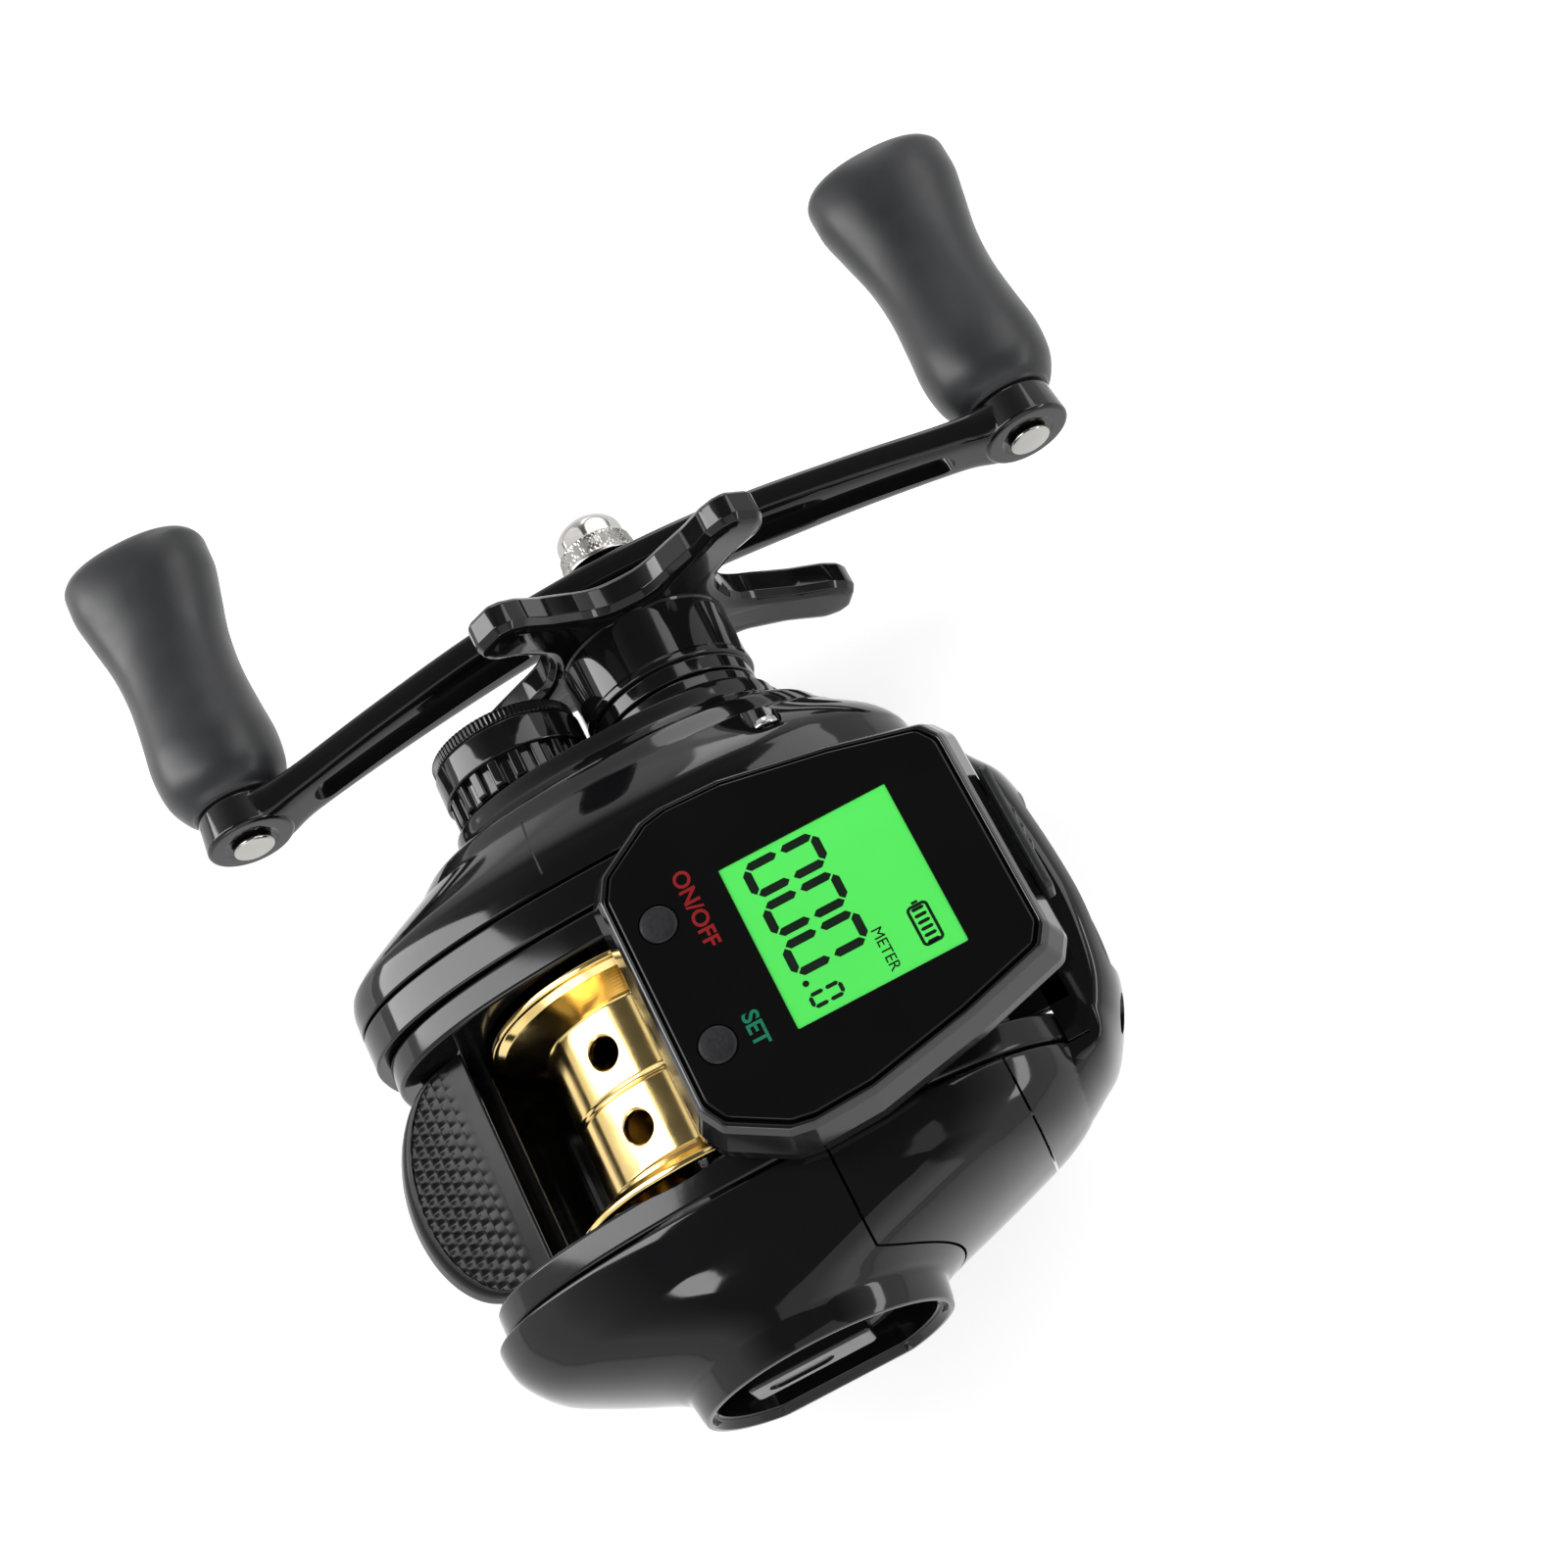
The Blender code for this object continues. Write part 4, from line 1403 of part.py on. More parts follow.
BLACK_BODY = finish("black body", (0.012, 0.012, 0.013), 0.28, 0.0)
BLACK_GLOSS = finish("gloss black", (0.008, 0.008, 0.009), 0.12, 0.0)
BLACK_SATIN = finish("satin black", (0.016, 0.016, 0.017), 0.38, 0.0)
RUBBER = finish("soft rubber", (0.028, 0.029, 0.031), 0.55, 0.0)
GOLD = finish("gold anodised", (0.83, 0.58, 0.20), 0.22, 1.0)
STEEL = finish("steel", (0.56, 0.56, 0.57), 0.28, 1.0)
CHROME = finish("bright nut", (0.70, 0.68, 0.64), 0.14, 1.0)
BRASS = finish("brass", (0.72, 0.52, 0.22), 0.30, 1.0)
NYLON = finish("nylon", (0.78, 0.77, 0.72), 0.45, 0.0)
FELT = finish("carbon drag felt", (0.05, 0.05, 0.05), 0.85, 0.0)
CERAMIC = finish("ceramic", (0.05, 0.05, 0.055), 0.15, 0.0)
SILVER_GREY = finish("silver grey", (0.35, 0.35, 0.36), 0.35, 0.6)
GREEN_BOARD = finish("circuit board", (0.02, 0.16, 0.06), 0.45, 0.0)
LCD_GREEN = finish("lcd", (0.08, 0.74, 0.09), 0.30, 0.0)
GLASS = finish("black glass", (0.004, 0.004, 0.005), 0.08, 0.0)
DARK_GREY = finish("button grey", (0.045, 0.045, 0.048), 0.45, 0.0)

reel_foot()
frame()
spool()
spool_shaft()
bearing("spool_bearing_palm", PALM_IN + GAP, SHAFT_RADIUS + GAP, BEARING_RADIUS)
bearing("spool_bearing_gear", -CAST_BOSS_OUT + GAP, SHAFT_RADIUS + GAP, BEARING_RADIUS)
gear_side_plate()
smooth(gear_side_cover())
cover_screws()
gear_train()
crank()
clutch()
cast_control()
smooth(star_drag())
smooth(handle_arm())
handle_nut()
knob("rear", -1)
knob("front", 1)
smooth(palm_side())
brake_parts()
nose_cover()
level_wind()
thumb_bar()
display_housing()
display_parts()
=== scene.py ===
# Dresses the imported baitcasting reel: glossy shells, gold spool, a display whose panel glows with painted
# light, soft knobs and studio light.
import json
import math

import bmesh
import bpy
import numpy as np
from mathutils import Matrix, Vector


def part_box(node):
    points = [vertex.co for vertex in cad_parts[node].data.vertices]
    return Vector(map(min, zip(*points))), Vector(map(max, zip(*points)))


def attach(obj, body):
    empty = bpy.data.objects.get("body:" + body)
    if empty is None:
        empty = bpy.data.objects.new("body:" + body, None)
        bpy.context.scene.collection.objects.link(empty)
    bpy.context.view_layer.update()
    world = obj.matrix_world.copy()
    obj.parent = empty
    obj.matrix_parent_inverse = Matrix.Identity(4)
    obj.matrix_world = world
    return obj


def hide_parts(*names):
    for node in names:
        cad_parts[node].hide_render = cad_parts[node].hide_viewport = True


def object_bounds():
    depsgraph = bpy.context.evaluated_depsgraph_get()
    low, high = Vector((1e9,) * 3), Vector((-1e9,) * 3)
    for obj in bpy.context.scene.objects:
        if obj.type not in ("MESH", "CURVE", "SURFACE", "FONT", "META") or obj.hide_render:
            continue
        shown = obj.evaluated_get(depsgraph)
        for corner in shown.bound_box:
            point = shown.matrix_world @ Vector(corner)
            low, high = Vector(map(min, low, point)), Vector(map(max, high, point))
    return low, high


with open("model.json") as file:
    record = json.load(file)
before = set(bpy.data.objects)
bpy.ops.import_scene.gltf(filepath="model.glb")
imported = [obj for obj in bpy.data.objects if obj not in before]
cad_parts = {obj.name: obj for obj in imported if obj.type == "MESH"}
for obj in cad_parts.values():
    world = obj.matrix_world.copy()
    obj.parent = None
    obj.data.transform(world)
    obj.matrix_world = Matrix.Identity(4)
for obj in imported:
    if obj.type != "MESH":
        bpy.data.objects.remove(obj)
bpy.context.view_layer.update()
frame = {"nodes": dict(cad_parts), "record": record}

mm = 0.001
nodes = frame["nodes"]
spoolLow, spoolHigh = (np.array(corner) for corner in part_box("spool"))
axis = (spoolLow + spoolHigh) / 2   # the middle of the spool; places below are millimetres from it
print("frame loaded,", len(nodes), "nodes")


def spanOf(node):
    # A node's lowest and highest corners, in millimetres from the spool's middle.
    low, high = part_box(node)
    return (np.array(low) - axis) / mm, (np.array(high) - axis) / mm


# Shapes

def at(x, ahead, rise):
    # Millimetres from the spool's middle, along X, forward and up, to metres in the frame.
    return np.stack(np.broadcast_arrays(x, ahead, rise), -1) * mm + axis


def upright(level, p, q):
    return at(p, q, level)


def forward(level, p, q):
    return at(p, level, q)


def turn(count):
    return np.linspace(0, 2 * np.pi, count, endpoint=False)


def around(level, r, a, ahead=0, rise=0, lay=at):
    # Points at radius r and angle a about an axis.
    return lay(level, ahead + r * np.cos(a), rise + r * np.sin(a))


def heading(a):
    # Unit vectors at angles.
    return np.stack([np.cos(a), np.sin(a)], -1)


def squared(count, power):
    # A circle's cosines and sines, each raised to the power with its sign kept.
    a = turn(count)
    c, s = np.cos(a), np.sin(a)
    return np.sign(c) * abs(c)**power, np.sign(s) * abs(s)**power


def placed(name, data):
    item = bpy.data.objects.new(name, data)
    bpy.context.scene.collection.objects.link(item)
    return item


def meshOf(item):
    # The item's mesh with its modifiers applied.
    bpy.context.view_layer.update()
    return bpy.data.meshes.new_from_object(item.evaluated_get(bpy.context.evaluated_depsgraph_get()))


def skin(name, rings, loop=False):
    # Quads join each ring of points to the next; end rings get a flat cap, or are poles if they have no size.
    rows, cols = rings.shape[:2]
    r = np.arange(rows if loop else rows - 1)[:, None]
    c = np.arange(cols)[None, :]
    thisRow, nextRow, nextCol = r * cols, (r + 1) % rows * cols, (c + 1) % cols
    corners = np.broadcast_arrays(thisRow + c, thisRow + nextCol, nextRow + nextCol, nextRow + c)
    faces = np.stack(corners, -1).reshape(-1, 4).tolist()
    if not loop:
        for row in (0, rows - 1):
            if np.ptp(rings[row], axis=0).max() > 1e-6:
                faces.append(list(range(row * cols, (row + 1) * cols)))
    mesh = bpy.data.meshes.new(name)
    mesh.from_pydata(rings.reshape(-1, 3).tolist(), [], faces)
    work = bmesh.new()
    work.from_mesh(mesh)
    bmesh.ops.remove_doubles(work, verts=work.verts, dist=1e-7)
    bmesh.ops.recalc_face_normals(work, faces=work.faces)
    work.to_mesh(mesh)
    work.free()
    return placed(name, mesh)


def stacked(name, level, outlines, lay=at, loop=False):
    return skin(name, lay(level, outlines[..., 0], outlines[..., 1]), loop)


def flow(table, steps=8):
    # A smooth curve through a table's rows: cubic pieces whose slopes never overshoot a row.
    p = np.asarray(table, float)
    d = np.diff(p, axis=0)
    slope = np.vstack([d[:1], (d[:-1] + d[1:]) / 2, d[-1:]])
    limit = 3 * np.minimum(abs(d[:-1]), abs(d[1:]))
    calm = np.sign(slope[1:-1]) * np.minimum(abs(slope[1:-1]), limit)
    slope[1:-1] = np.where(d[:-1] * d[1:] <= 0, 0, calm)
    s = np.linspace(0, 1, steps, endpoint=False)[None, :, None]
    a, b, m, n = p[:-1, None], p[1:, None], slope[:-1, None], slope[1:, None]
    body = (2 * s**3 - 3 * s**2 + 1) * a + (s**3 - 2 * s**2 + s) * m
    body = body + (3 * s**2 - 2 * s**3) * b + (s**3 - s**2) * n
    return np.vstack([body.reshape(-1, p.shape[1]), p[-1:]])


def eased(points, radius, steps=5, loop=False):
    # Each corner of a polyline becomes a circular arc of the radius, as far as its two sides allow.
    p = np.asarray(points, float)
    before, after = np.roll(p, 1, 0) - p, np.roll(p, -1, 0) - p
    back, on = np.linalg.norm(before, axis=1)[:, None], np.linalg.norm(after, axis=1)[:, None]
    u, v = before / np.maximum(back, 1e-9), after / np.maximum(on, 1e-9)
    half = np.arccos(np.clip((u * v).sum(1, keepdims=True), -1, 1)) / 2
    wide = np.broadcast_to(np.asarray(radius, float), len(p))[:, None]
    reach = np.minimum(wide / np.tan(np.clip(half, 0.02, 1.5707)), 0.48 * np.minimum(back, on))
    s = np.linspace(0, 1, steps + 1)[None, :, None]
    weight = np.sin(half)[:, None]
    start, corner, end = (p + u * reach)[:, None], p[:, None], (p + v * reach)[:, None]
    bend = (1 - s)**2 * start + 2 * s * (1 - s) * weight * corner + s**2 * end
    bend /= (1 - s)**2 + 2 * s * (1 - s) * weight + s**2
    if loop:
        return bend.reshape(-1, 2)
    return np.vstack([p[:1], bend[1:-1].reshape(-1, 2), p[-1:]])


def inwards(outline, distance):
    # An outline moved in along its own normals; the tangent at a point runs between its two neighbours.
    tangent = np.roll(outline, -1, 0) - np.roll(outline, 1, 0)
    normal = np.stack([tangent[:, 1], -tangent[:, 0]], -1)
    normal /= np.maximum(np.linalg.norm(normal, axis=1, keepdims=True), 1e-9)
    x, y = outline.T
    if (x * np.roll(y, -1) - y * np.roll(x, -1)).sum() < 0:
        normal = -normal
    return outline[None] - normal[None] * np.reshape(distance, (-1, 1, 1))


def slab(name, outline, low, high, edge=0.4, lay=at, steps=4):
    # An outline carried between two levels; its rims are quarter circles, so each ring steps in near a face.
    a = np.linspace(0, np.pi / 2, steps + 1)
    inset, lift = edge * (1 - np.sin(a)), edge * (1 - np.cos(a))
    rings = inwards(np.asarray(outline, float), np.concatenate([inset, inset[::-1]]))
    level = np.concatenate([low + lift, high - lift[::-1]])[:, None]
    return stacked(name, level, rings, lay)


def turned(name, profile, ahead=0, rise=0, radius=0.2, steps=96, loop=False, lay=at, bend=5):
    # A profile of (level, radius) turned about an axis along X, or along the axis that lay gives. Unless it
    # is a loop, flat ends close it onto the axis.
    if not loop:
        profile = [(profile[0][0], 0), *profile, (profile[-1][0], 0)]
    path = eased(profile, radius, bend, loop)
    return skin(name, around(path[:, :1], path[:, 1:], turn(steps), ahead, rise, lay), loop)


def bore(start, end, radius, ahead=0, rise=0, steps=96):
    # A sharp-edged round bar, to cut with.
    return turned("bore", [(start, radius), (end, radius)], ahead, rise, 0, steps)


def rectangle(p, q, edge, steps=6):
    return eased([(p[0], q[0]), (p[1], q[0]), (p[1], q[1]), (p[0], q[1])], edge, steps, True)


def box(name, x, ahead, rise, edge=0.3):
    # A block with rounded edges: a rounded rectangle carried along X.
    return slab(name, rectangle(ahead, rise, edge, 4), *x, edge)


def stadium(length, radius, count=16):
    # Two half circles joined by straight sides, as (along, across).
    cap = (length / 2 - radius, 0) + radius * heading(np.linspace(-np.pi / 2, np.pi / 2, count))
    return np.vstack([cap, -cap])


def combine(target, *tools, how="DIFFERENCE"):
    # Exact boolean, with the result kept as the target's mesh.
    for tool in tools:
        modifier = target.modifiers.new("Combine", "BOOLEAN")
        modifier.operation = how
        modifier.solver = "EXACT"
        modifier.object = tool
        shape = meshOf(target)
        target.modifiers.clear()
        target.data = shape
        bpy.data.objects.remove(tool)
    return target


def join(target, *tools):
    return combine(target, *tools, how="UNION")


def gather(name, items):
    # Several closed shapes that don't touch, kept as one mesh.
    work = bmesh.new()
    for item in items:
        work.from_mesh(item.data)
        bpy.data.objects.remove(item)
    mesh = bpy.data.meshes.new(name)
    work.to_mesh(mesh)
    work.free()
    return placed(name, mesh)


# Finishes

def feed(tree, node, inputs):
    # Each input takes a value or another node's output.
    for socket, value in inputs.items():
        if isinstance(value, bpy.types.NodeSocket):
            tree.links.new(value, node.inputs[socket])
        else:
            node.inputs[socket].default_value = value
    return node


def make(tree, kind, inputs={}, **settings):
    node = tree.nodes.new("ShaderNode" + kind)
    for key, value in settings.items():
        setattr(node, key, value)
    return feed(tree, node, inputs)


def finishOf(name, colour, roughness, other=None, specular=0.5, metallic=0.0, coat=0.0, sheen=0.0, paintedGlow=None,
             rings=None, bump=0.15, lift=0.02, driftScale=90, grainScale=1500):
    # Object-space noise drifts the colour and the roughness, and a finer grain lifts the surface.
    material = bpy.data.materials.new(name)
    material.use_nodes = True
    tree = material.node_tree
    where = make(tree, "TexCoord").outputs["Object"]

    def noise(scale, detail=3.0):
        return make(tree, "TexNoise", {"Scale": scale, "Detail": detail, "Vector": where}).outputs["Fac"]

    def ranged(value, low, high):
        return make(tree, "MapRange", {"Value": value, "From Min": 0.3, "From Max": 0.7, "To Min": low,
                                       "To Max": high}).outputs["Result"]

    other = other or [0.8 * c for c in colour]
    drift = make(tree, "Mix", {0: ranged(noise(driftScale), 0, 1), 6: (*colour, 1), 7: (*other, 1)},
                 data_type="RGBA")
    height = noise(grainScale, 4)
    if rings:   # lathe marks: fine waves along the turning axis and outwards from it
        centre = make(tree, "Mapping", {"Location": tuple(-axis), "Vector": where}).outputs["Vector"]
        for kind in ("BANDS", "RINGS"):
            wave = make(tree, "TexWave", {"Scale": rings, "Distortion": 0.6, "Vector": centre},
                        wave_type=kind, bands_direction="X", rings_direction="X")
            height = make(tree, "Math", {0: height, 1: wave.outputs["Fac"]}).outputs["Value"]
    bumps = make(tree, "Bump", {"Strength": bump, "Distance": lift * mm, "Height": height})
    shader = feed(tree, tree.nodes["Principled BSDF"], {
        "Base Color": drift.outputs[2], "Roughness": ranged(noise(260, 5), *roughness),
        "Normal": bumps.outputs["Normal"], "Metallic": metallic, "Specular IOR Level": specular,
        "Coat Weight": coat, "Coat Roughness": 0.05, "Sheen Weight": sheen})
    # The glow is painted light: emission in the colour brightens the surface, though it is no lamp.
    if paintedGlow:
        feed(tree, shader, {"Emission Color": (*colour, 1), "Emission Strength": paintedGlow})
    return material


# Colour, lowest and highest roughness, and what else differs from the usual
looks = {
    "black_body": ((0.006, 0.006, 0.0066), (0.09, 0.14), dict(specular=0.32, bump=0.06)),
    "gloss_black": ((0.005, 0.005, 0.0056), (0.05, 0.09), dict(specular=0.38, bump=0.04)),
    "satin_black": ((0.0085, 0.0085, 0.0092), (0.2, 0.28), dict(specular=0.36, grainScale=2600, bump=0.22)),
    "soft_rubber": ((0.0135, 0.014, 0.0155), (0.34, 0.42),
        dict(other=(0.017, 0.0175, 0.0195), specular=0.4, grainScale=3200, bump=0.35, sheen=0.04)),
    "gold": ((0.78, 0.56, 0.21), (0.11, 0.19),
        dict(other=(0.84, 0.63, 0.27), metallic=1.0, rings=1400, bump=0.1, lift=0.012)),
    "steel": ((0.52, 0.52, 0.53), (0.2, 0.32), dict(metallic=1.0, rings=900, bump=0.12)),
    "bright_nut": ((0.46, 0.445, 0.42), (0.16, 0.26), dict(metallic=1.0, bump=0.1)),
    "brass": ((0.66, 0.45, 0.17), (0.24, 0.36), dict(metallic=1.0, rings=800, bump=0.12)),
    "nylon": ((0.74, 0.73, 0.68), (0.38, 0.5), dict(bump=0.2)),
    "drag_felt": ((0.03, 0.03, 0.031), (0.75, 0.95), dict(grainScale=2200, bump=0.8, lift=0.08)),
    "ceramic": ((0.03, 0.03, 0.034), (0.06, 0.12), dict(coat=0.3)),
    "silver_grey": ((0.22, 0.22, 0.23), (0.28, 0.42),
        dict(other=(0.09, 0.09, 0.095), metallic=0.6, driftScale=1800, bump=0.25)),
    "circuit_board": ((0.015, 0.14, 0.05), (0.35, 0.5), dict(other=(0.02, 0.2, 0.08), driftScale=700)),
    # lcd: its green glows by painted light; the panel is no lamp
    "lcd": ((0.064, 0.55, 0.079), (0.16, 0.22),
        dict(other=(0.07, 0.6, 0.086), driftScale=40, paintedGlow=0.22, bump=0.03)),
    "window": ((0.0038, 0.0036, 0.0038), (0.06, 0.1), dict(specular=0.18, bump=0.03)),
    "button_grey": ((0.006, 0.006, 0.007), (0.4, 0.54),
        dict(other=(0.013, 0.013, 0.015), specular=0.25, driftScale=2400, grainScale=2600, bump=0.5,
             lift=0.04)),
    "thumb_grip": ((0.005, 0.005, 0.0055), (0.15, 0.24), dict(specular=0.13, bump=0.1)),
    "housing_edge": ((0.007, 0.007, 0.0076), (0.09, 0.15), dict(specular=0.55, bump=0.05)),
    "ink_dark": ((0.003, 0.01, 0.004), (0.3, 0.4), dict(specular=0.2)),
    "ink_red": ((0.23, 0.008, 0.01), (0.3, 0.4), dict(specular=0.2)),
    "ink_green": ((0.006, 0.15, 0.075), (0.3, 0.4), dict(specular=0.2)),
}
finishes = {name: finishOf(name, *look, **more) for name, (*look, more) in looks.items()}
print("finishes made:", len(finishes))


def settle(item, slot, *replaced, body="reel_body", sharp=34, finish=None):
    # Shading, finish and the body that a piece rides on.
    item.data.materials.clear()
    item.data.materials.append(finishes[finish or slot])
    item.data.shade_smooth()
    item.data.set_sharp_from_angle(angle=math.radians(sharp))
    flat = item.modifiers.new("Flat faces stay flat", "WEIGHTED_NORMAL")
    flat.keep_sharp = True
    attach(item, body)
    if replaced:
        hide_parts(*replaced)
    return item


for part in frame["record"]["subparts"]:
    mesh = nodes[part["node"]].data
    mesh.materials.clear()
    mesh.materials.append(finishes[part["material_slot"]])

# Side view of the body

side = {"forward": 12.0, "drop": 2.0, "power": 2.5}   # its centre lies ahead of and below the spool's axis


def bodyOutline(back, front, top, bottom):
    # Four quarter superellipses round one centre: |cos|^(2/power) along by |sin|^(2/power) up.
    c, s = squared(200, 2 / side["power"])
    along = np.where(c > 0, front - side["forward"], back + side["forward"])
    up = np.where(s > 0, top + side["drop"], bottom - side["drop"])
    return np.stack(np.broadcast_arrays(side["forward"] + c * along, s * up - side["drop"]), -1)


def ringOutline(ahead, rise, radius, count=200):
    return (ahead, rise) + radius * heading(turn(count))


# Frame: two rings, floor with its rear wall, and deck

cage = {"gearHole": 15.8, "palmHole": 17.4, "dish": 1.3, "edge": 0.55, "floor": 2.4, "wallFrom": 178.5,
        "deck": (20.0, 32.0, 13.8, 15.6), "floorFront": 34.1}
cageLow, cageHigh = spanOf("frame")
ringIn = spanOf("worm_guard")[1][0] + 0.3
ringOut = cageHigh[0]
cageSide = bodyOutline(-cageLow[1], cageHigh[1], cageHigh[2], -cageLow[2])
cageFrame = slab("cage_frame", cageSide, -ringOut, -ringIn, cage["edge"])
cagePalm = slab("cage_palm", cageSide, ringIn, ringOut, cage["edge"])
for piece, sign, hole in ((cageFrame, -1, cage["gearHole"]), (cagePalm, 1, cage["palmHole"])):
    flare = [(sign * (ringIn - 2), hole + cage["dish"] + 2), (sign * (ringIn + cage["dish"]), hole),
             (sign * (ringOut - 0.5), hole), (sign * (ringOut + 0.5), hole + 1.0)]
    combine(piece, turned("hole", flare, steps=144))
floorOut = -cageLow[2]
arc = heading(np.radians(np.linspace(cage["wallFrom"], 270, 40)))
front = cage["floorFront"]
trough = np.vstack([arc * (floorOut - cage["floor"]), (front, cage["floor"] - floorOut), (front, -floorOut),
                    arc[::-1] * floorOut])
ringMiddle = (ringIn + ringOut) / 2
deck = cage["deck"]
join(cageFrame, slab("floor", eased(trough, 0.5, 3, True), -ringMiddle, ringMiddle, 0),
     box("deck", (-ringMiddle, ringMiddle), deck[:2], deck[2:], 0.3), cagePalm)
settle(cageFrame, "black_body", "frame")
print("frame done")

# Reel foot: a stadium plate with thinned ends

footBack, footLow = spanOf("reel_foot")[0][1:]
# Length, width and height of each outline, from the underside to the top
footRows = np.vstack([(61.4, 11.9, 0.0), flow([
    (62.0, 12.5, 0.35), (62.0, 12.5, 0.8), (61.4, 12.1, 1.15), (50.0, 11.8, 1.9), (40.0, 11.4, 2.6),
    (33.0, 10.6, 2.97), (31.0, 9.6, 3.0)], 6)])
plan = np.array([stadium(length, width / 2, 24) for length, width, _ in footRows])
ahead = footBack + footRows[:, 0].max() / 2 + plan[..., 0]
settle(skin("foot_plate", at(plan[..., 1], ahead, footLow + footRows[:, 2:])), "steel", "reel_foot")

# Spool: turned in one piece, with two rows of holes through the barrel

spoolCut = {"barrel": 11.5, "wall": 1.0, "depth": 3.8, "groove": 0.5, "hub": 3.6, "hubHalf": 4.5, "web": 1.2,
            "bore": 1.8, "hole": 1.9, "holeOffset": 4.8, "holes": 5, "turnShare": 0.531}
half, rim = spoolHigh[0] / mm, (spoolHigh[2] - spoolLow[2]) / 2 / mm
barrel, inner, footX = spoolCut["barrel"], spoolCut["barrel"] - spoolCut["wall"], half - spoolCut["depth"]
web, hub, hubHalf, hole = (spoolCut[key] for key in ("web", "hub", "hubHalf", "hole"))
outer = [(footX + x, barrel + r) for x, r in ((0, 0), (0.3, 0.55), (1.0, 2.0), (2.1, 4.3))]
outer += [(half - 0.9, rim - 0.5), (half - 0.9, rim), (half, rim)]
inside = [(half, rim - 0.7)] + [(footX + x, inner + r) for x, r in ((2.9, 3.4), (1.5, 0.7), (0.8, 0))]
inside += [(web, inner), (web, hub), (hubHalf, hub), (hubHalf, spoolCut["bore"])]
right = [(0.5, barrel)] + outer + inside
mirrored = [(-x, r) for x, r in reversed(right)]
groove = [(0.0, barrel - spoolCut["groove"])]
reelSpool = turned("gold_spool", right + mirrored + groove, radius=0.35, steps=160, loop=True, bend=4)
# Every drill widens where it leaves the barrel; it points away from the axis
reach, r = flow([(inner - 1.2, hole), (barrel - 0.45, hole), (barrel - 0.12, hole + 0.22),
                 (barrel + 0.6, hole + 0.95)], 4).T[..., None]
c, s = np.cos(turn(40)), np.sin(turn(40))
drills = []
for x in (spoolCut["holeOffset"], -spoolCut["holeOffset"]):
    for i in range(spoolCut["holes"]):
        towards = 2 * np.pi * (i + spoolCut["turnShare"]) / spoolCut["holes"]
        along, across = math.cos(towards), math.sin(towards)
        ahead, rise = reach * along - r * s * across, reach * across + r * s * along
        drills.append(skin("drill", at(x + r * c, ahead, rise)))
combine(reelSpool, gather("drills", drills))
settle(reelSpool, "gold", "spool", body="spool_body")
print("foot and spool done")

# Gear side: plate and stepped, domed cover

gearLow, gearHigh = spanOf("gear_side_plate")
gearBack, gearFront, gearTop, gearBottom = -gearLow[1], gearHigh[1] - 0.3, gearHigh[2], -gearLow[2]
plate = slab("gear_plate", bodyOutline(gearBack, gearFront, gearTop, gearBottom), -22.3, gearHigh[0], 0.3)
crank = (np.array(spanOf("crank_shaft")[0]) + spanOf("crank_shaft")[1])[1:] / 2   # ahead and rise of its axis
combine(plate, bore(-30, 0, 5.2, *crank), bore(-30, 0, 1.8))
settle(plate, "gloss_black", "gear_side_plate")

# Shares of the cover's depth, then of its draw at the back, front, top and bottom: terraces with crisp edges,
# each a slope, a corner and a short riser
domeShares = [
    (0, 0, 0, 0, 0), (0.1, 0, 0, 0, 0), (0.2, 0.01, 0.01, 0.01, 0.01), (0.27, 0.05, 0.03, 0.03, 0.03),
    (0.4, 0.22, 0.15, 0.19, 0.15), (0.575, 0.5, 0.44, 0.455, 0.45), (0.585, 0.515, 0.45, 0.47, 0.46),
    (0.592, 0.535, 0.49, 0.525, 0.5), (0.602, 0.545, 0.5, 0.54, 0.51), (0.735, 0.68, 0.63, 0.645, 0.65),
    (0.745, 0.695, 0.645, 0.66, 0.665), (0.855, 0.925, 0.9, 0.905, 0.9), (0.87, 0.94, 0.92, 0.925, 0.92),
    (0.975, 0.955, 0.945, 0.95, 0.95), (0.992, 0.965, 0.955, 0.96, 0.96), (1, 1, 1, 1, 1)]
dome = {"in": -22.6, "depth": 17.4, "wall": 2.0, "boss": 11.0, "bossRise": 1.4, "ring": 10.5, "ringRise": 1.6,
        "capBoss": 7.0, "capBossLength": 7.7, "plateau": (9.5, 31.6, 11.0, 14.2), "rimRound": 0.3,
        "seamAhead": (-0.85, -0.59),
        "seam": [(-24.4, gearTop - 0.45), (-33.2, 13.55), (-33.2, 25), (-24.4, 25)]}


def domeRings(inset):
    # Each ring is a body outline; its four reaches run from the rim's to the plateau's by the draw shares.
    table = flow(domeShares, 5)
    rimReach = np.array((gearBack, gearFront, gearTop, gearBottom))
    reach = rimReach + table[:, 1:] * (np.array(dome["plateau"]) - rimReach) - inset
    outline = bodyOutline(*(reach[:, i:i + 1] for i in range(4)))
    level = dome["in"] - table[:, :1] * (dome["depth"] - inset)
    return level, outline


level, outline = domeRings(0)
rimRound = dome["rimRound"] * np.array((1, 0.3, 0))
outline = np.concatenate([inwards(outline[0], rimRound), outline[1:]])
level = np.vstack([dome["in"] - rimRound[::-1, None], level[1:]])
cover = stacked("gear_cover", level, outline)
top = dome["in"] - dome["depth"]
step, bossOut = top - dome["bossRise"], top - dome["bossRise"] - dome["ringRise"]
boss = [(top + 1, dome["boss"] + 1.6), (top - 0.2, dome["boss"] + 0.9), (step, dome["boss"]),
        (step, dome["ring"]), (bossOut, dome["ring"])]
capBoss = [(top + 1, dome["capBoss"] + 1.2), (top - 0.2, dome["capBoss"] + 0.7), (top - 1.0, dome["capBoss"]),
           (top - dome["capBossLength"], dome["capBoss"])]
join(cover, turned("boss", boss, *crank, 0.3), turned("boss", capBoss, radius=0.25))
level, outline = domeRings(dome["wall"])
level[0] += 1.0
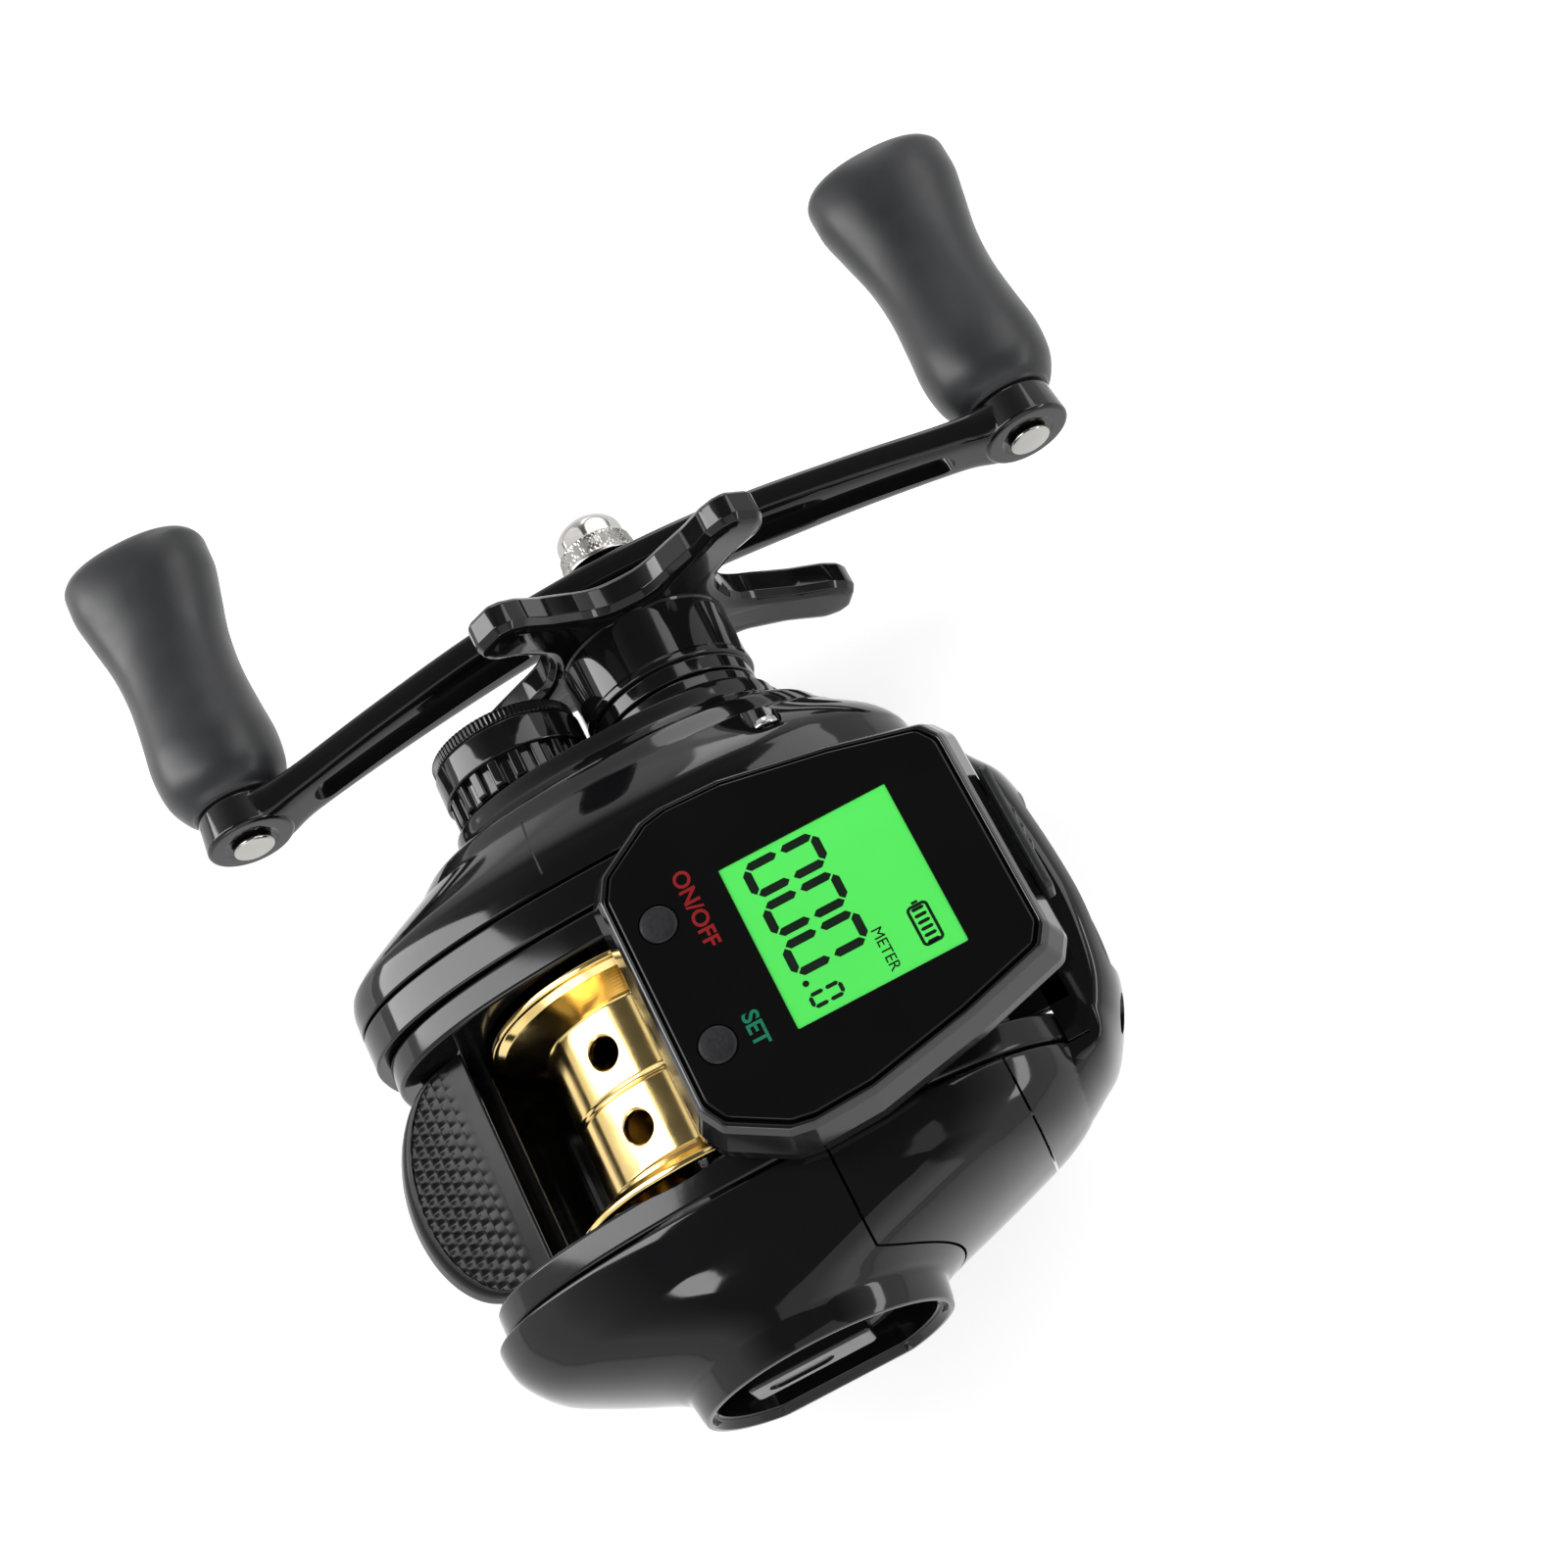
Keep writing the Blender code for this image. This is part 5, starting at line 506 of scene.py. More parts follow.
hollow = stacked("hollow", level, outline)
screwPlaces = [(29.2, 14.1, 6.0), (-19.0, 4.0, 3.6), (1.0, -18.1, 3.6)]   # ahead, rise and depth of the seat
combine(hollow, gather("pillars", [bore(0, -45, 3.4, ahead, rise) for ahead, rise, _ in screwPlaces]))
combine(cover, hollow, bore(-50, -30, 7.7, *crank), bore(-50, -30, 4.8))
for ahead, rise, seat in screwPlaces:
    channel = [(dome["in"] - seat, 2.1), (top - 2, 2.1), (top - 3, 0)]
    combine(cover, turned("channel", channel, ahead, rise, 0.2, 48))
combine(cover, slab("seam", dome["seam"], *dome["seamAhead"], 0, forward))
settle(cover, "gloss_black", "gear_side_cover")
print("gear side done")

# Screws

screwLook = {"head": 1.8, "face": 1.45, "height": 1.2, "shank": 0.9, "slot": (2.6, 0.5, 0.5)}


def screwAt(node, seat, end, p, q, lay=at, toward=-1):
    # A pan head turned about its axis, with two crossed slots sunk into it.
    top = seat + toward * screwLook["height"]
    profile = [(top, screwLook["face"]), (seat, screwLook["head"]), (seat, screwLook["shank"]),
               (end, screwLook["shank"])]
    item = turned(node + "_turned", profile, p, q, 0.35, 40, lay=lay)
    length, width, depth = screwLook["slot"]
    outline = stadium(length, width / 2, 6)
    for lane in (outline, outline[:, ::-1]):
        combine(item, slab("slot", lane + (p, q), *sorted((top - toward * depth, top + toward)), 0, lay))
    settle(item, "steel", node)


for node, (ahead, rise, seat) in zip(("gear_screw_top", "gear_screw_rear", "gear_screw_low"), screwPlaces):
    screwAt(node, dome["in"] - seat - 0.3, spanOf(node)[1][0], ahead, rise)
for node in ("nose_screw_gear", "nose_screw_palm"):
    low, high = spanOf(node)
    screwAt(node, high[1] - screwLook["height"], low[1], (low[0] + high[0]) / 2, 0, forward, 1)
print("screws done")

# Cast-control cap: knurled rim, smooth barrel and a castellated foot

cap = {"knurls": 96, "knurlDepth": 0.16, "teeth": 20, "toothDepth": 0.75}
# Level from the outer face, radius, share of knurl and share of tooth at each row
rows = flow([
    (0, 0, 0, 0), (0, 6.2, 0, 0), (0.25, 6.6, 0, 0), (0.25, 8.2, 0, 0), (0, 8.5, 0, 0), (0.05, 9.0, 0.3, 0),
    (0.2, 9.25, 1, 0), (1.5, 9.25, 1, 0), (1.62, 9.2, 0, 0), (1.68, 8.95, 0, 0), (1.86, 8.95, 0, 0),
    (1.95, 9.4, 0, 0), (2.2, 9.5, 0, 0), (5.5, 9.5, 0, 0), (5.8, 9.4, 0, 0), (5.9, 9.15, 0, 1),
    (6.1, 9.15, 0, 1), (8.8, 9.15, 0, 1), (9.2, 8.95, 0, 0.8), (9.3, 8.6, 0, 0.3), (9.3, 7.5, 0, 0),
    (9.2, 7.3, 0, 0), (1.2, 7.3, 0, 0), (1.2, 0, 0, 0)], 3)
a = turn(960)
knurl = 0.5 + 0.5 * np.cos(cap["knurls"] * a)
tooth = 1 / (1 + np.exp(-9 * np.cos(cap["teeth"] * a)))
r = rows[:, 1:2] - rows[:, 2:3] * cap["knurlDepth"] * knurl - rows[:, 3:4] * cap["toothDepth"] * tooth
settle(skin("cap_wheel", around(spanOf("cast_control_cap")[0][0] + rows[:, :1], r, a)), "gloss_black",
       "cast_control_cap", body="cast_cap", sharp=45)

# Star drag: a five-armed plate on a lipped hub

star = {"arms": 5, "first": math.radians(50), "reach": 28.5, "thick": 4.5, "sweep": 2.2, "ridge": 0.3,
        "plan": [(12.2, 4.3), (20.3, 3.5), (25.0, 3.8), (27.2, 3.1), (28.45, 1.8)],   # half an arm
        "round": (6.5, 9.0, 4.0, 1.9, 1.5)}
starLow, starHigh = spanOf("star_drag")
plan, bend = np.array(star["plan"]), np.array(star["round"])
arm = np.vstack([plan * (1, -1), plan[::-1]])
sector = 2 * np.pi / star["arms"]
turnBy = (star["first"] + sector * np.arange(star["arms"]))[:, None]
c, s = np.cos(turnBy), np.sin(turnBy)
spun = np.stack([c * arm[:, 0] - s * arm[:, 1], s * arm[:, 0] + c * arm[:, 1]], -1).reshape(-1, 2)
outline = eased(spun, np.tile(np.concatenate([bend, bend[::-1]]), star["arms"]), 14, True)
# Inset from the edge and depth below the outer face, round the rim from front to back
rimRows = eased([(1.3, 0.0), (0.35, 0.2), (0.0, 0.7), (0.0, 3.3), (0.5, 4.2), (1.3, 4.5)], 0.4, 5)
rim = inwards(outline, rimRows[:, 0])
fan = np.linspace(0, 1, 14)[:-1, None, None]
plan = np.concatenate([rim[:1] * fan, rim, rim[-1:] * fan[::-1]])
depth = np.concatenate([np.zeros(13), rimRows[:, 1], np.full(13, star["thick"])])[:, None]
# An arm bends towards the reel by a smooth step of its distance along the arm
local = (np.arctan2(plan[..., 1], plan[..., 0]) - star["first"] + sector / 2) % sector - sector / 2
reach = np.hypot(plan[..., 0], plan[..., 1])
share = np.clip((reach * np.cos(local) / star["reach"] - 0.45) / 0.55, 0, 1)
bow = share**2 * (3 - 2 * share)
ridge = star["ridge"] * np.clip(1 - abs(reach * np.sin(local)) / 3.2, 0, 1) * np.clip(reach / 12, 0, 1)
x = starLow[0] + star["ridge"] + depth + star["sweep"] * bow - ridge * (depth < 0.01)
plateStar = stacked("star_wheel", x, crank + plan)
hub = np.array([(0, 10.4), (2.0, 10.4), (2.0, 10.75), (2.25, 11.0), (3.0, 11.0), (3.25, 10.85), (10.2, 10.85),
                (10.8, 11.1), (11.2, 11.9), (14.0, 11.9)])   # distance out from the neck's end, and radius
join(plateStar, turned("hub", hub * (-1, 1) + (starHigh[0], 0), *crank, 0.25, 128))
combine(plateStar, bore(-80, -30, 2.9, *crank))
settle(plateStar, "gloss_black", "star_drag", body="star", sharp=40)
print("cap and star done")

# Handle arm: a swept bar with round eyes and a long slot in each half

crankArm = {"span": 108.0, "width": 10.6, "eye": 4.8, "sweep": 6.0, "in": 61.3, "slot": (12.0, 44.6, 2.1),
            "eyeX": (-60.1, -55.3), "eyeRadius": (5.3, 5.7), "box": 0.42}
# Shares of half the span, of the sweep, of the width and of the eye's thickness
armShares = [(-1.095, 1, 0.3, 0.9), (-1.085, 1, 0.55, 0.96), (-1.05, 1, 0.88, 1), (-1.0, 1, 1, 1),
             (-0.93, 0.99, 0.86, 1), (-0.84, 0.84, 0.76, 0.86), (-0.62, 0.5, 0.86, 0.84),
             (-0.36, 0.18, 0.98, 0.86), (-0.14, 0.02, 1.02, 0.86)]
armShares = armShares + [(0.0, 0.0, 1.06, 0.86)] + [(-row[0], *row[1:]) for row in reversed(armShares)]
along, sweep, wide, thick = flow(armShares, 12).T[..., None]
c, s = squared(64, crankArm["box"])
across, through = c * wide * crankArm["width"] / 2, s * thick * crankArm["eye"] / 2
middleX = -(crankArm["in"] - sweep * crankArm["sweep"] + crankArm["eye"] / 2)
armBar = skin("crank_arm", at(middleX + through, crank[0] + along * crankArm["span"] / 2, crank[1] + across))
start, stop, slotRadius = crankArm["slot"]
eyeIn = crankArm["eyeX"][1]
eye = [*zip(crankArm["eyeX"], crankArm["eyeRadius"]), (eyeIn, 3.3), (eyeIn - 0.5, 3.1)]
for sign in (1, -1):
    eyeAt = crank + (sign * crankArm["span"] / 2, 0)
    join(armBar, turned("eye", eye, *eyeAt, 0.55, 80))
    lane = stadium(stop - start, slotRadius, 14) + ((start + stop) / 2 * sign, 0) + crank
    combine(armBar, slab("slot", lane, -75, -50, 0), bore(-80, -50, 2.3, *eyeAt, 48))
combine(armBar, bore(-80, -50, 2.9, *crank, 48))
settle(armBar, "gloss_black", "handle_arm", body="crank", sharp=40)

# Nut: a smooth, lightly faceted dome on a knurled collar

nut = {"sides": 8, "flat": 4.12, "knurls": 22, "knurlDepth": 0.22, "collar": 3.3}
nutLow, nutHigh = spanOf("handle_nut")
n0, n1 = nutHigh[0], nutLow[0]
table = flow([(n0, 0.0), (n0, 4.9), (n0 - 0.2, 5.15), (n0 - 0.6, 5.15), (n0 - 3.1, 4.75), (n0 - 3.3, 4.5),
              (n0 - 3.5, 4.38), (n0 - 5.0, 4.3), (n0 - 5.9, 3.9), (n0 - 6.6, 3.2), (n1 + 0.1, 2.3),
              (n1, 1.6), (n1, 0.0)], 8)
a = turn(288)
drop, r = n0 - table[:, :1], table[:, 1:]
# On the collar two helical waves cross; above it a regular polygon takes off what stands outside it
onCollar = np.clip((drop - 0.5) / 0.2, 0, 1) * np.clip((nut["collar"] - 0.2 - drop) / 0.2, 0, 1)
crossed = abs(np.sin(nut["knurls"] * a + 4.2 * drop) * np.sin(nut["knurls"] * a - 4.2 * drop))
polygon = nut["flat"] / np.cos(a % (2 * np.pi / nut["sides"]) - np.pi / nut["sides"])
r = np.where(drop > nut["collar"], np.minimum(r, polygon), r - nut["knurlDepth"] * onCollar * (1 - crossed))
settle(skin("dome_nut", around(table[:, :1], r, a, *crank)), "bright_nut", "handle_nut", body="crank",
       sharp=40)

# Knobs and their pins

grip = {"width": 19.8, "thick": 13.4, "length": 39.8, "in": 60.4, "power": 2.25}
# Shares of the length, of the tip's width and of the tip's thickness
table = flow([
    (0, 0, 0), (0, 0.5, 0.66), (0.012, 0.58, 0.76), (0.04, 0.68, 0.91), (0.1, 0.79, 1.03), (0.2, 0.83, 1.06),
    (0.32, 0.79, 1), (0.46, 0.755, 0.925), (0.6, 0.79, 0.895), (0.74, 0.9, 0.95), (0.86, 0.985, 1),
    (0.93, 0.985, 0.97), (0.965, 0.93, 0.89), (0.985, 0.82, 0.76), (0.996, 0.66, 0.6), (1, 0.45, 0.4),
    (1, 0, 0)], 5)
c, s = squared(72, 2 / grip["power"])
for name, sign in (("rear", -1), ("front", 1)):
    knobAt = crank + (sign * crankArm["span"] / 2, 0)
    knob = skin("grip_" + name, at(-grip["in"] - table[:, :1] * grip["length"],
                                   knobAt[0] + table[:, 1:2] * grip["width"] / 2 * c,
                                   knobAt[1] + table[:, 2:] * grip["thick"] / 2 * s))
    combine(knob, bore(-97, -50, 2.3, *knobAt, 48))
    settle(knob, "soft_rubber", "handle_knob_" + name, body="knob_" + name, sharp=50)
    low, high = spanOf("knob_pin_" + name)
    pin = [(low[0], 2.0), (high[0] - 0.6, 2.0), (high[0] - 0.6, 2.7), (high[0], 2.6)]
    settle(turned("pin_" + name, pin, *knobAt, 0.25, 48), "bright_nut", "knob_pin_" + name, body="crank")
print("handle done")

# Palm side: one shell parted by its seams into cover, front panel and the nose's corner

palm = {"in": 18.1, "out": 36.2, "wall": 2.0, "floor": 30.2, "cavity": 28.2, "boss": 15.2, "taper": 3.0,
        "cut": 2.4, "tuck": 0.6}
dialAt = np.array((3.0, 0.5))   # ahead and rise of the dial's axis
# Shares of the depth and of the way to the boss, with how many tucks the outline is drawn in by
palmShares = [(0, 0, 0.35), (0.015, 0, 0), (0.08, 0, 0.15), (0.18, 0.005, 0.7), (0.27, 0.045, 1.2),
              (0.34, 0.1, 1.5), (0.4, 0.175, 1.45), (0.46, 0.28, 1.3), (0.6, 0.58, 0.8), (0.72, 0.84, 0.3),
              (0.79, 0.955, 0.1), (0.84, 1, 0), (0.96, 1, 0)]


def bossOutline(radius):
    # A circle round the dial, cut off straight below it; the cut is softened where it meets the arc.
    outline = ringOutline(*dialAt, radius)
    limit, soft = dialAt[1] - radius + palm["cut"], 0.25
    low = outline[:, 1] - limit
    outline[:, 1] = limit + (low + np.sqrt(low**2 + soft**2)) / 2
    return outline


def palmRings(inset):
    # Ring by ring, the body's outline moves point by point towards the boss's.
    rings, levels = [], []
    for depth, blend, tuck in flow(palmShares, 4):
        drawn = inset + tuck * palm["tuck"]
        body = bodyOutline(gearBack - drawn, gearFront - drawn, gearTop - drawn, -cageLow[2] - drawn)
        radius = palm["boss"] + (1 - depth) * palm["taper"] - inset
        rings.append(body + blend * (bossOutline(radius) - body))
        levels.append(palm["in"] + depth * (palm["out"] - palm["in"]))
    return np.array(rings), np.array(levels)


def palmShell(name):
    # Cavity floor, inner wall, outer wall, rim, recess wall and recess floor, all as rings of one surface.
    rings, levels = palmRings(0)
    inside, insideLevels = palmRings(palm["wall"])
    kept = insideLevels < palm["cavity"]
    inside, insideLevels = inside[kept][::-1], insideLevels[kept][::-1]
    out, floor = palm["out"], palm["floor"]
    rimLevels, rimRadii = zip(
        (out - 0.35, 15.2), (out - 0.1, 15.1), (out, 14.9), (out, 14.45), (out - 0.15, 14.3),
        (out - 0.75, 14.2), (out - 0.9, 14.1), (out - 0.9, 13.6), (out - 1.05, 13.45), (floor + 0.5, 13.4),
        (floor + 0.1, 13.25), (floor, 13.0))
    rimRings = np.array([bossOutline(radius) for radius in rimRadii])
    pole = np.broadcast_to(dialAt, rings[:1].shape)
    floorRing = (inside[:1] - dialAt) * 0.98 + dialAt
    everything = np.concatenate([pole, floorRing, inside, rings, rimRings, pole])
    level = np.concatenate([[palm["cavity"]] * 2, insideLevels, levels, rimLevels, [floor]])[:, None]
    return stacked(name, level, everything)


def region(start, stop, radius):
    # All that lies between two planes ahead and outside the boss.
    return combine(box("region", (10, 45), (start, stop), (-60, 60), 0), bore(5, 50, radius, *dialAt, 200))


palmCover = combine(palmShell("palm_cover"), region(13.9, 70, 18.6))
settle(palmCover, "gloss_black", "palm_side_cover", sharp=38)
panel = combine(palmShell("front_panel"), region(14.2, 35.0, 18.9), how="INTERSECT")
settle(panel, "gloss_black", "palm_front_panel", sharp=38)
corner = combine(palmShell("corner"), region(35.3, 70, 18.9), how="INTERSECT")
print("palm side done")

# Brake dial with its grip bar, and the number plate beside it

dial = {"knurls": 60, "depth": 0.35, "thick": 2.2, "grip": (15.0, 6.6, 2.6), "setback": 1.8,
        "scale": (10.95, 13.05), "ticks": 12.75}
floor = palm["floor"] + 0.3
profile = eased([(-3, 0), (-3, 2.4), (0, 2.4), (0, 10.2), (0.3, 10.6), (1.7, 10.6), (2.2, 10.0), (2.2, 8.6),
                 (1.9, 8.3), (1.9, 0)], 0.15, 3) + (floor, 0)
a = turn(720)
r = profile[:, 1:] - dial["depth"] * (profile[:, 1:] > 10.1) * (0.5 + 0.5 * np.cos(dial["knurls"] * a))
disc = skin("dial_disc", around(profile[:, :1], r, a, *dialAt))
length, width, height = dial["grip"]
halfBar = np.array((length, width)) / 2
middle = dialAt - (dial["setback"], 0)
join(disc, slab("bar", rectangle(*zip(middle - halfBar, middle + halfBar), 1.0), floor + 0.6,
                floor + dial["thick"] + height, 0.45))
combine(disc, slab("label", stadium(8.0, 1.7, 10) + middle - (1.5, 0), floor + 4.55, floor + 6, 0))
settle(disc, "satin_black", "brake_dial", body="dial", sharp=40)
direction = heading(np.radians(np.linspace(-50, 78, 60)))
plateLow, plateHigh = spanOf("dial_number_plate")
crescent = dialAt + np.vstack([dial["scale"][1] * direction, dial["scale"][0] * direction[::-1]])
settle(slab("scale_plate", crescent, plateLow[0], plateHigh[0], 0.12), "silver_grey", "dial_number_plate")
marks = []
for i in range(7):
    direction = heading(math.radians(-42 + 19 * i))
    start = dialAt + dial["ticks"] * direction
    end = start - direction * (1.3 if i % 3 == 0 else 0.8)
    sideways = np.array((-direction[1], direction[0])) * 0.13
    marks.append(slab("tick", [start + sideways, end + sideways, end - sideways, start - sideways],
                      plateHigh[0] - 0.05, plateHigh[0] + 0.04, 0))
settle(gather("scale_ticks", marks), "silver_grey", finish="ink_dark")
print("dial done")

# Nose cover: a rounded hood along a curved plan, with the line opening, joined to the palm side's corner

nose = {"top": 8.0, "bottom": 11.0, "halfWidth": 24.0, "reach": 8.4, "wall": 2.4, "round": 3.3, "power": 2.2,
        "palm": 18.4, "lap": 37.0, "window": (11.5, -6.0, 5.5)}
bodyFront = cageHigh[1]
back = bodyFront + 0.6
# Shares of half the width and of the reach beyond the body, from the gear end round the palm corner
path = flow([(-0.94, 0.18), (-0.87, 0.34), (-0.75, 0.6), (-0.6, 0.83), (-0.28, 0.95), (0.08, 1), (0.46, 0.86),
             (0.67, 0.63), (0.85, 0.27), (0.96, -0.14), (1.04, -0.56), (1.06, -0.93)])
path = path * (nose["halfWidth"], nose["reach"]) + (0, bodyFront)
tangent = np.gradient(path, axis=0)
inward = np.stack([tangent[:, 1], -tangent[:, 0]], -1) / np.linalg.norm(tangent, axis=1, keepdims=True)
room = np.hypot(np.maximum(path[:, 0] - nose["palm"], 0), np.maximum(path[:, 1] - back, 0)) - 0.75
# Top and bottom are rounded by a superellipse: the inset is round * (1 - (1 - |h|^power)^(1/power))
h = np.sin(np.linspace(-np.pi / 2, np.pi / 2, 37))[:, None]
tuck = 1 - np.maximum(1 - abs(h)**nose["power"], 0)**(1 / nose["power"])
rings = path + (np.minimum(nose["round"], room) * tuck)[..., None] * inward
onPalm = rings[..., 0] > nose["palm"] + 0.2
rings[..., 1] = np.maximum(rings[..., 1], np.where(onPalm, nose["lap"], back + 0.3))
inner = np.broadcast_to([(nose["palm"], nose["lap"]), (nose["palm"], back)], (len(h), 2, 2))
closing = np.stack([rings[:, :1, 0], np.full((len(h), 1), back)], -1)
rings = np.concatenate([rings, inner, closing], 1)
levels = (nose["top"] - nose["bottom"]) / 2 + h * (nose["top"] + nose["bottom"]) / 2
hood = stacked("nose_hood", levels, rings, upright)
w, low, high = nose["window"]
combine(hood, box("hollow", (-w - 1.2, w + 1.2), (back - 2, bodyFront + nose["reach"] - 2 * nose["wall"]),
                  (-nose["bottom"] + nose["wall"], nose["top"] - nose["wall"]), 0.6))
window = rectangle((-w, w), (low, high), 2.2, 8)
front = back + np.array((-2.0, 5.0, 6.0, 7.0, 8.0, 9.5))
opening = inwards(window, -0.32 * np.clip(front - back - 5.0, 0, 9)**1.2)
combine(hood, stacked("window", front[:, None], opening, forward))
# The roof reaches back between the rings, and beside them as far as their rounded fronts
level = np.linspace(nose["top"] - 2.2, nose["top"] - 0.03, 6)
lift = abs(level + side["drop"]) / (cageHigh[2] + side["drop"])
ringFront = side["forward"] + (cageHigh[1] - side["forward"]) * (1 - lift**side["power"])**(1 / side["power"])
wing = np.vstack([np.stack([ringFront + 0.3, level], -1), [(back + 0.6, level[-1]), (back + 0.6, level[0])]])
join(hood, slab("wing", wing, -nose["palm"] + 0.2, nose["palm"] - 0.2, 0.15),
     box("roof", (-ringIn + 0.3, ringIn - 0.3), (37.8, back + 0.6), (nose["top"] - 1.4, level[-1]), 0.3),
     corner)
sink = [(back - 3, 1.2), (back + 1.2, 1.2), (back + 1.2, 2.1), (back + 9, 2.1)]
for x in (-ringMiddle, ringMiddle):
    combine(hood, turned("sink", sink, x, 0, 0.1, 48, lay=forward))
settle(hood, "gloss_black", "nose_cover", sharp=38)
print("nose done")

# Level wind: slotted guard, cross-grooved worm, rod, guide and its ring

worm = {"at": (35.5, -7.0), "guard": 4.1, "guardBore": 3.2, "slot": 1.7, "thread": 13.0, "pitch": 6.5,
        "deep": 0.75, "radius": 2.6, "end": 1.6}
rodAt = (31.5, -14.2)
half = ringIn - 0.3
tube = [(-half, worm["guard"]), (half, worm["guard"]), (half, worm["guardBore"]), (-half, worm["guardBore"])]
guard = turned("slotted_guard", tube, *worm["at"], 0.15, loop=True)
lane = stadium(2 * half - 6, worm["slot"], 12) + (0, worm["at"][0])
combine(guard, slab("slot", lane, worm["at"][1] - 6, worm["at"][1], 0, upright))
settle(guard, "satin_black", "worm_guard")
low, high = spanOf("worm_shaft")
x = np.linspace(low[0], high[0], 420)[:, None]
a = turn(48)
inPlay = np.clip((worm["thread"] - abs(x)) / 0.4, 0, 1)
wind = 2 * np.pi * x / worm["pitch"]
groove = np.maximum(np.cos(a - wind), np.cos(a + wind))
r = np.where(abs(x) < worm["thread"], worm["radius"], worm["end"])
r = r - worm["deep"] * inPlay * np.clip((groove - 0.72) / 0.2, 0, 1)
settle(skin("grooved_worm", around(x, r, a, *worm["at"])), "steel", "worm_shaft", body="worm", sharp=45)
low, high = spanOf("guide_rod")
settle(turned("polished_rod", [(low[0], 1.2), (high[0], 1.2)], *rodAt, 0.2, 40), "steel", "guide_rod")
wide = spanOf("line_guide")[1][0]
wormAhead, wormRise = worm["at"]
eyeRise = wormRise + 9.0
carriage = turned("guide_carriage", [(-wide, 5.9), (wide, 5.9)], *worm["at"], 0.5, 80)
tower = rectangle((wormAhead - 2.6, wormAhead + 2.6), (wormRise, eyeRise + 3.1), 0.9)
join(carriage, slab("tower", tower, -wide, wide, 0.7),
     turned("lug", [(-wide, 2.6), (wide, 2.6)], *rodAt, 0.3, 48),
     box("bridge", (-wide + 0.3, wide - 0.3), (rodAt[0], 33.7), (rodAt[1], wormRise), 0.3))
eye = [(30, 2.6), (33.2, 2.4), (33.8, 2.35), (37.2, 2.35), (37.8, 2.4), (41, 2.6)]
combine(carriage, bore(-9, 9, 4.4, *worm["at"], 80), bore(-9, 9, 1.5, *rodAt, 48),
        turned("eye", eye, 0, eyeRise, 0.1, 64, lay=forward))
settle(carriage, "silver_grey", "line_guide", body="guide")
ringLow, ringHigh = spanOf("guide_ring")
inner = [(ringLow[1], 2.1), (ringHigh[1], 2.1), (ringHigh[1], 1.7), (wormAhead, 1.2), (ringLow[1], 1.7)]
settle(turned("ceramic_ring", inner, 0, eyeRise, 0.25, 64, True, forward), "ceramic", "guide_ring",
       body="guide")
print("level wind done")

# Thumb bar: a sloping D-shaped pad with a checkered top, on two arms

pad = {"half": 13.9, "start": -18.8, "top": 7.8, "slope": math.radians(25), "length": 15.1, "square": 4.5,
       "thick": 2.8, "round": 0.8, "under": 0.6, "pitch": 1.6, "height": 0.42, "margin": 0.5, "smooth": 2.6}
u = np.sin(np.linspace(-np.pi / 2, np.pi / 2, 260)) * 0.999
reachAt = pad["square"] + (pad["length"] - pad["square"]) * np.sqrt(1 - u**2)
a = np.linspace(0, np.pi / 2, 7)
r, low = pad["round"], pad["under"]
topRun = np.linspace(0, 1, 150)


def padSection(reach):
    # Round one cross-section: over the top, round the rear edge, under the bottom and round the front edge.
    under, c, s = pad["thick"] - low, np.cos(a), np.sin(a)
    along = [r + topRun * (reach - 2 * r), reach - r + r * s, reach - low + low * c, [low], low - low * s,
             r - r * c]
    depth = [0 * topRun, r - r * c, under + low * s, [pad["thick"]], under + low * c, r - r * s]
    return np.concatenate(along), np.concatenate(depth)


along, depth = map(np.array, zip(*map(padSection, reachAt)))
xPad = (u * pad["half"])[:, None]
onTop = np.arange(along.shape[1])[None, :] < len(topRun)
fromSide = (1 - abs(u[:, None])) * pad["half"] * 3.0 - 0.4
fromEdge = np.minimum(np.minimum(along - r, reachAt[:, None] - r - along), fromSide)
mask = np.clip((fromEdge - pad["margin"]) / 0.3, 0, 1) * onTop * np.clip((along - pad["smooth"]) / 6.0, 0, 1)
# Scales in staggered rows: each rises along its length and is rounded across, and drops at its end
row = along / pad["pitch"] * 1.15
column = xPad / pad["pitch"] + 0.5 * (np.floor(row) % 2)
scales = (row % 1) * (1 - (2 * (column % 1) - 1)**2)
depth = depth - mask * pad["height"] * (scales - 0.9)
c, s = math.cos(pad["slope"]), math.sin(pad["slope"])
padPiece = skin("checkered_pad", at(xPad, pad["start"] - along * c - depth * s,
                                    pad["top"] - along * s - depth * c))
for sign in (1, -1):
    edges = sorted((sign * pad["half"], sign * (pad["half"] - 1.6)))
    join(padPiece, box("arm", edges, (-25.4, -21.8), (-7.4, 3.9), 0.3))
settle(padPiece, "satin_black", "thumb_bar", finish="thumb_grip", body="thumb", sharp=50)
print("thumb bar done")

# Display: flared housing, window, the panel with its digits (its glow is painted light), buttons, printed
# words and port cover

counter = {"offset": -1.3, "rear": 5.2, "half": 19.0, "length": 39.4, "bottom": 18.7, "top": 26.9,
           "glass": (26.1, 27.3), "digitInk": 0.02}
edgeShares = np.array([(0.66, 0), (0.79, 0.035), (0.975, 0.185), (1, 0.25), (0.985, 0.42), (0.86, 0.72),
                       (0.72, 0.965), (0.61, 1)])


